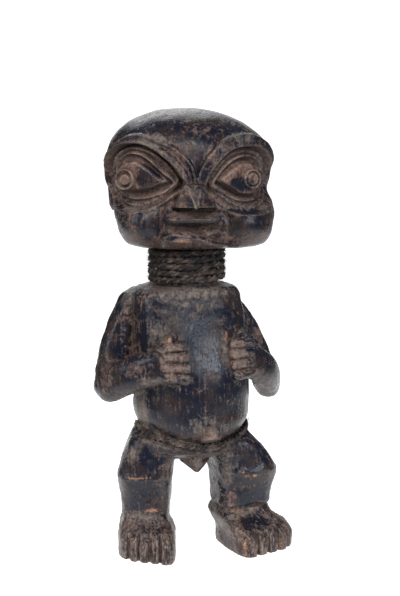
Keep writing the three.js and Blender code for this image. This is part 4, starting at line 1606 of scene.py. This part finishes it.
rope = NECK_ROPE
neck_rope = joined("wound_neck_rope", [
    *strands(neck_route, rope["rows"], rope["thick"], rope["lay"], 20),
    *loose_fibres(neck_route, rope["rows"], rope["thick"], rope["fibres"], 31),
])
print("neck rope:", round(rope_length(neck_route), 3), "m long")


# %% The hip rope's knot and tail
KNOT = {"loop": 5.2, "thick": 3.4, "turns": 1.6, "long": 7, "rows": 90, "lay": 9}
# The knot sits at this row of the hip rope's route, close to where its ends meet.
KNOT_ROW = 3
TAIL = {
    "from": 0.005, "to": 0.27, "thick": 2.6, "drop": 4.6, "out": 1.2, "rows": 200, "lay": 7,
}


def knot_route(share):
    """A small overhand loop round the rope where it is tied, at the right hip."""
    *frames, _ = rope_frame(hip_route, 400)
    middle, ahead, side, up = (rows[KNOT_ROW] for rows in frames)
    turn = math.tau * KNOT["turns"] * np.asarray(share)
    reach = KNOT["loop"] * (0.75 + 0.2 * np.cos(turn))
    ring = np.cos(turn)[:, None] * side + np.sin(turn)[:, None] * up
    shift = (np.asarray(share) - 0.4)[:, None] * KNOT["long"] * ahead
    return middle + 0.5 * side + ring * reach[:, None] + shift


def tail_route(share):
    """The spare end, laid along under the rope towards the front."""
    along = mix(TAIL["from"], TAIL["to"], np.asarray(share))
    points = hip_route(along)
    around, _ = bearings(points)
    out = turned(np.column_stack([np.cos(around), np.sin(around), 0 * around]), TRUNK_TURN)
    lie = ramp(np.asarray(share), 0, 0.15)[:, None]
    return points + TAIL["out"] * out - lie * TAIL["drop"] * np.array([0, 0, 1])


rope = HIP_ROPE
hip_rope = joined("tied_hip_rope", [
    *strands(hip_route, rope["rows"], rope["thick"], rope["lay"], 40),
    *strands(knot_route, KNOT["rows"], KNOT["thick"], KNOT["lay"], 50),
    *strands(tail_route, TAIL["rows"], TAIL["thick"], TAIL["lay"], 60),
    *loose_fibres(hip_route, rope["rows"], rope["thick"], rope["fibres"], 61),
    *tuft(knot_route([0.9])[0], (-0.9, -0.2, 0.5), 16, 7, 62),
    *tuft(tail_route([0.99])[0], (0.6, -0.5, -0.3), 9, 6, 63),
])
print("hip rope:", round(rope_length(hip_route), 3), "m long")


# %% Into metres, at the middle of the whole
def to_place(piece):
    """Moves a piece from the carver's millimetres to the frame's metres."""
    piece.data.transform(Matrix.Diagonal((MM, MM, MM, 1)) @ Matrix.Translation(-MIDDLE))
    for face in piece.data.polygons:
        face.use_smooth = True


for piece in (figure, neck_rope, hip_rope):
    to_place(piece)
    print(piece.name, "is", np.ptp(points_of(piece.data)[:, 2]).round(3), "m tall")

# %% [markdown]
# ## The finish of the wood
# Years of handling and smoke have left a blue-black skin with a soft shine on everything
# that stands out. In the recesses the skin is red-brown and dull, pale dust lies in the
# grooves, and a few knocks show the light wood. The feet are weathered and finely cracked.
# One could paint an image of all this, but it would have to be fitted to the form. Here the
# measures of the form decide where each layer may be, and noise breaks its edges up.

# %% How much dust, red-brown, bare wood and painted shade each spot has
# Places on the carving: across, along, height, their reach each way, and the strength.
WARM_PLACES = [
    (8, -60, 126, 9, 12, 9, 1.3), (-57, -49, 367, 30, 22, 27, 0.95),
    (40, -60, 368, 25, 19, 26, 0.95), (-6, -47, 319, 28, 21, 6, 0.95),
    (-6, -50, 335, 26, 20, 6, 0.5), (-25, -50, 354, 8, 12, 8, 1),
    (4, -50, 410, 16, 12, 10, 0.3), (10, -66, 382, 7, 12, 15, 0.5), (-22, -55, 372, 7, 12, 11, 0.6),
    (-57, -42, 322, 10, 12, 8, 0.55), (-60, -32, 340, 8, 12, 2.8, 1),
    (-64, -24, 230, 7, 12, 26, 0.8), (-83, -24, 181, 6, 12, 16, 0.5),
    (-60, -51, 189, 22, 16, 7, 0.4), (9, -56, 185, 8, 12, 12, 0.6),
    (35, -51, 197, 11, 12, 22, 0.85), (-27, -64, 201, 12, 12, 20, 0.85),
    (70, 11, 203, 6, 12, 16, 0.6), (56, -41, 177, 8, 12, 10, 0.55), (-29, -33, 89, 6, 12, 12, 0.6),
    (38, -21, 50, 8, 12, 14, 0.7), (-50, -30, 253, 8, 12, 9, 0.4), (-36, -43, 164, 28, 21, 8, 0.5),
    (-4, -25, 92, 16, 12, 10, 0.8), (-19, -54, 308, 15, 12, 4, 0.8),
]
DUST_PLACES = [
    (-43, -51, 399, 17, 13, 8, 1), (42, -52, 403, 16, 12, 5, 0.6), (-6, -37, 259, 45, 34, 8, 0.8),
    (-61, -9, 252, 8, 12, 8, 0.7), (-3, -42, 246, 22, 16, 12, 0.5),
    (-39, -45, 224, 12, 12, 14, 0.65), (-60, -26, 232, 6, 12, 24, 0.6),
    (-38, -56, 178, 22, 16, 7, 0.85), (-48, -22, 144, 7, 12, 29, 0.9),
    (-12, -61, 196, 4, 12, 18, 0.8), (24, -47, 204, 4, 12, 26, 0.8), (31, -51, 174, 11, 12, 6, 0.7),
    (11, -58, 136, 23, 16, 11, 0.7), (-17, -43, 118, 34, 26, 5, 0.6),
    (-40, -28, 123, 10, 12, 10, 0.7), (-3, -25, 92, 14, 12, 8, 0.8), (32, -29, 80, 7, 12, 31, 0.55),
    (34, -15, 34, 7, 12, 16, 0.6), (-25, -29, 76, 4, 12, 21, 0.5), (16, -41, 107, 9, 12, 8, 0.6),
    (-47, -20, 41, 24, 18, 5, 0.6), (49, -20, 40, 20, 15, 5, 0.8), (35, -51, 197, 8, 12, 21, 0.6),
    (-27, -64, 201, 10, 12, 18, 0.55), (72, 1, 153, 8, 12, 6, 0.4), (-71, -20, 378, 7, 12, 22, 0.4),
    (62, -38, 340, 8, 12, 4, 0.6), (-57, -37, 339, 22, 16, 5, 0.7), (38, -53, 340, 17, 13, 3, 0.7),
    (-61, -26, 103, 8, 12, 8, 0.5),
]
BARE_PLACES = [
    (-29, -58, 218, 2.3, 6, 3, 1), (27, -43, 218, 1.5, 6, 8, 0.8), (-41, -22, 46, 9, 6, 2, 0.95),
    (-58, -32, 82, 13, 6, 1.1, 0.8), (46, -33, 84, 1.6, 6, 2.9, 0.8),
    (50, -32, 79, 1.6, 6, 2.9, 0.8), (58, -30, 78, 2.5, 6, 2.3, 0.9), (46, -21, 40, 11, 6, 2, 0.6),
    (46, -42, 13, 2.9, 6, 8, 0.7), (-16, -55, 309, 7, 6, 1.8, 0.85), (6, -47, 318, 1.8, 6, 1.1, 1),
    # The spot at the top corner of the figure's left brow, (25, -59, 402), is partly a painted
    # highlight.
    (23, -60, 365, 4, 6, 1.4, 0.5), (-41, -54, 365, 2.7, 6, 3, 0.5), (25, -59, 402, 4, 6, 1.4, 0.4),
    (-86, -21, 164, 1.4, 6, 6, 0.5), (86, -28, 6, 3, 6, 8, 0.5),
]
CLEAN_PLACES = [
    (-47, -54, 369, 11, 12, 15, 1), (38, -58, 361, 11, 12, 7, 1), (-4, -61, 379, 8, 12, 13, 0.9),
    (-47, -49, 322, 8, 12, 11, 0.8), (42, -58, 326, 16, 12, 12, 0.9),
    (-32, -47, 156, 20, 15, 17, 0.9), (25, -54, 164, 16, 12, 24, 0.8),
    (-40, -41, 243, 16, 12, 10, 0.7), (-2, -59, 325.5, 26, 15, 4, 1.1),
    (-30, -51, 312, 6, 12, 4, 1), (5, -51, 207, 13, 12, 28, 0.8), (36, -60, 365, 7, 12, 6, 0.5),
    (-48, -30, 69, 19, 14, 17, 0.6), (55, -23, 62, 16, 12, 18, 0.5), (59, -28, 30, 14, 12, 5, 0.7),
]
# Painted shadow: dark spots under the nose, in the mouth and its corners, and in the middle of the
# navel.
SHADE_PLACES = [
    (0.5, -62, 127, 4, 8, 4, 0.6), (0, -52, 335, 22, 14, 3.5, 0.8), (-3, -50, 320, 27, 14, 3, 0.6),
    (-30, -50, 320, 3, 14, 12, 0.7), (34, -48, 320, 3, 14, 12, 0.7),
]


def spread(places, points):
    """The strongest of some soft ellipsoids at each point."""
    total = np.zeros(len(points))
    for *middle, a, b, c, strength in places:
        away = np.linalg.norm((points - middle) / [a, b, c], axis=1)
        total = np.maximum(total, strength * ramp(1.6 - away, 0, 1.2))
    return total


def store(name, values):
    """Keeps numbers on the points of the figure, for the shader to read."""
    layer = figure.data.attributes.new(name, "FLOAT", "POINT")
    layer.data.foreach_set("value", np.clip(values, 0, 1).astype(np.float32))


def layers_of_finish():
    """Stores how much of each layer every point of the figure carries."""
    points, facing = skin_points, skin_facing
    z = points[:, 2]
    closed = 1 - fields["sky"]
    # The groove measure is used below as painted shade that darkens the grooves.
    groove = ramp(fields["groove"], 0.04, 0.19)
    hollow = ramp(fields["hollow"], 0.05, 0.7)
    feet = ramp(-z, -46, -34)
    face = ramp(z, 300, 312) * ramp(-z, -404, -392) * ramp(-facing[:, 1], -0.2, 0.4)
    warm = 0.5 * hollow + 0.6 * ramp(closed, 0.3, 0.7) + 0.5 * feet + 0.32 * face
    dust = 0.35 * hollow + 0.5 * ramp(closed, 0.25, 0.65) + 0.2 * feet
    dust += 0.2 * ramp(facing[:, 2], 0.2, 0.8) * (z < 280)
    # Undersides are made dull and red-brown here, and below they are painted darker, as shade falls
    # under them.
    under = ramp(-facing[:, 2], 0.3, 0.8)
    warm += 0.5 * under
    clean = spread(CLEAN_PLACES, points)
    warm = np.maximum(warm, spread(WARM_PLACES, points)) - clean
    dust = np.maximum(dust, spread(DUST_PLACES, points)) - clean
    store("warm", warm)
    store("dust", dust)
    store("bare", spread(BARE_PLACES, points))
    # Painted shade: undersides and the shade places are darkened.
    dark = np.maximum(0.6 * under, spread(SHADE_PLACES, points))
    # The groove layer is painted shade: grooves, undersides and the shade places are darkened as if
    # shade fell there.
    store("groove", np.maximum(groove, dark))
    # The ridge layer lightens crests, partly as wear and partly as a painted highlight.
    store("ridge", ramp(-fields["groove"], 0.03, 0.13))
    store("cracked", ramp(-z, -40, -20))
    print("mean warm", warm.mean().round(2), "and mean dust", dust.mean().round(2))


layers_of_finish()

# %% Noises and measures that the wood is mixed from
wood = Finish("dark_wood")
blotch = wood.noise(22)
spots = wood.noise(7, 5, shift=3)
grain = wood.noise(2.4, 5, stretch=(1, 1, 0.07), shift=5)
grit = wood.noise(2.6, 5, shift=7)
crumbs = wood.noise(1.3, shift=11)
cracks = wood.noise(1.7, stretch=(1, 1, 0.1), shift=13)
warm_at, dust_at, bare_at = (wood.attribute(name) for name in ("warm", "dust", "bare"))
painted_shade_at, ridge_wear_and_highlight_at, cracked_at = (wood.attribute(name) for name in ("groove", "ridge", "cracked"))
print("six noises and six measures")

# %% Patina: blue-black, with red-brown streaks and a faint haze
BLUE_BLACK, BROWN_BLACK = (0.006, 0.0075, 0.0155), (0.018, 0.012, 0.013)
RED_BROWN, DUST = (0.105, 0.044, 0.032), (0.132, 0.102, 0.086)
colour = wood.over(wood.step(blotch, 0.35, 0.75), BLUE_BLACK, BROWN_BLACK)
streaks = wood.math("MULTIPLY", wood.step(grain, 0.5, 0.95), wood.step(spots, 0.3, 0.7))
colour = wood.over(wood.math("MULTIPLY", streaks, 0.4), colour, RED_BROWN)
haze = wood.step(wood.weighted((blotch, 0.5), (grain, 0.3), (grit, 0.2)), 0.45, 0.8)
colour = wood.over(wood.math("MULTIPLY", haze, 0.08), colour, DUST)
print("the patina takes", len(wood.tree.nodes), "nodes")

# %% Earthy red-brown in the recesses, and worn edges that are partly a painted highlight
EARTH, SANDY = (0.155, 0.098, 0.076), (0.28, 0.21, 0.165)
warm = wood.weighted((warm_at, 1), (spots, 0.65), (grit, 0.35), (grain, 0.2))
warm = wood.step(warm, 0.75, 1.5)
earth = wood.step(wood.weighted((grit, 0.6), (grain, 0.4)), 0.3, 0.7)
earth = wood.over(earth, RED_BROWN, EARTH)
earth = wood.over(wood.math("MULTIPLY", wood.step(crumbs, 0.6, 0.95), 0.4), earth, SANDY)
colour = wood.over(warm, colour, earth)
# Crests are painted lighter and sandy: partly wear, partly a painted highlight along them.
worn = wood.math("MULTIPLY", ridge_wear_and_highlight_at, wood.step(crumbs, 0.2, 0.6))
worn = wood.math("MULTIPLY", worn, wood.math("ADD", wood.math("MULTIPLY", warm, 0.5), 0.3))
colour = wood.over(worn, colour, SANDY)
print("with earth and edges:", len(wood.tree.nodes), "nodes")

# %% Pale dust
PALE_DUST = (0.21, 0.17, 0.145)
dusty = wood.weighted((dust_at, 1), (spots, 0.7), (grit, 0.4), (grain, 0.5), (crumbs, 0.2))
dusty = wood.step(dusty, 1.05, 1.95)
dirt = wood.step(wood.weighted((grit, 0.6), (crumbs, 0.4)), 0.3, 0.75)
colour = wood.over(wood.math("MULTIPLY", dusty, 0.9), colour, wood.over(dirt, DUST, PALE_DUST))
print("with dust:", len(wood.tree.nodes), "nodes")

# %% Dark pits and cracks, painted shade in grooves and under things, and bare wood where it was knocked
BARE_WOOD, DIRT_AND_SHADE = (0.36, 0.19, 0.115), (0.008, 0.006, 0.006)
pits = wood.step(wood.weighted((grit, 0.5), (grain, 0.5)), 0.42, 0.22)
pits = wood.math("MULTIPLY", pits, wood.math("MAXIMUM", warm, dusty))
pits = wood.math("MULTIPLY", pits, 0.6)
# Pits and cracks are real dirt; the groove layer adds painted shade, nearly black, in grooves and
# under things.
deep = wood.math("MAXIMUM", pits, wood.math("MULTIPLY", painted_shade_at, 0.85))
split = wood.math("MULTIPLY", cracked_at, wood.step(cracks, 0.6, 0.3))
deep = wood.math("MAXIMUM", deep, wood.math("MULTIPLY", split, 0.85))
pale = wood.math("MULTIPLY", cracked_at, wood.step(cracks, 0.65, 0.95))
colour = wood.over(wood.math("MULTIPLY", pale, 0.4), colour, SANDY)
colour = wood.over(deep, colour, DIRT_AND_SHADE)
bare = wood.weighted((bare_at, 1), (crumbs, 0.5), (grit, 0.5))
bare = wood.step(bare, 0.85, 1.4)
colour = wood.over(bare, colour, BARE_WOOD)
wood.feed(wood.shader.inputs["Base Color"], colour)
print("with dirt and bare wood:", len(wood.tree.nodes), "nodes")

# %% Shine and fine relief: dull where it is warm, dusty or bare
wood.shader.inputs["Specular IOR Level"].default_value = 0.27
dull = wood.math("MAXIMUM", wood.math("MULTIPLY", warm, 0.6), dusty)
dull = wood.math("MAXIMUM", dull, bare)
rough = wood.weighted((dull, 0.38), (grit, 0.08), (blotch, 0.08))
wood.feed(wood.shader.inputs["Roughness"], wood.math("ADD", rough, 0.16))
rough_skin = wood.weighted((grain, 0.4), (grit, 0.5), (crumbs, 0.35), (cracks, 0.4))
share = wood.math("ADD", wood.math("MULTIPLY", dull, 0.8), 0.2)
wood.relief(wood.math("MULTIPLY", rough_skin, share), 0.8)
figure.data.materials.append(wood.material)
print("dark wood has", len(wood.tree.nodes), "nodes")

# %% [markdown]
# ## The finish of the rope
# The fibre is nearly black with dirt and grease, and its crests are worn brown. Fibres run
# along each strand with a slant, so the noise is drawn out in the strand's own map, which
# counts round the strand and along it.

# %% Rope fibre
ROPE_DARK, ROPE_BROWN, ROPE_TAN = (0.02, 0.014, 0.013), (0.09, 0.062, 0.05), (0.27, 0.2, 0.15)


def rope_fibre():
    """Dirty fibre, drawn out along each strand and worn brown on its crests."""
    rope = Finish("rope_fibre")
    map_node = rope.tree.nodes.new("ShaderNodeUVMap")
    map_node.uv_map = "round_and_along"
    slant = rope.tree.nodes.new("ShaderNodeMapping")
    rope.feed(slant.inputs["Vector"], map_node.outputs["UV"])
    slant.inputs["Rotation"].default_value = (0, 0, 0.02)
    threads = rope.noise(1000, 3, stretch=(14, 160, 1), place=slant.outputs["Vector"])
    dirt = rope.noise(9)
    grit = rope.noise(1.4, shift=2)
    colour = rope.over(rope.step(dirt, 0.35, 0.8), ROPE_DARK, ROPE_BROWN)
    worn = rope.step(rope.weighted((threads, 0.6), (grit, 0.4), (dirt, 0.3)), 0.65, 1.05)
    colour = rope.over(rope.math("MULTIPLY", worn, 0.7), colour, ROPE_TAN)
    rope.feed(rope.shader.inputs["Base Color"], colour)
    rope.shader.inputs["Roughness"].default_value = 0.85
    rope.relief(rope.weighted((threads, 0.7), (grit, 0.5)), 0.6)
    return rope.material


fibre_finish = rope_fibre()
for piece in (neck_rope, hip_rope):
    piece.data.materials.append(fibre_finish)
print("rope fibre on", neck_rope.name, "and", hip_rope.name)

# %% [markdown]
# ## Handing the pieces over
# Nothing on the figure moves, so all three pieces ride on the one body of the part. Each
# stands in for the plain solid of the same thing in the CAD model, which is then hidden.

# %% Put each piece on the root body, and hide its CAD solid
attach(figure, "root")
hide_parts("figure")
for piece, node in ((neck_rope, "neck_rope"), (hip_rope, "hip_rope")):
    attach(piece, "root")
    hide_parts(node)
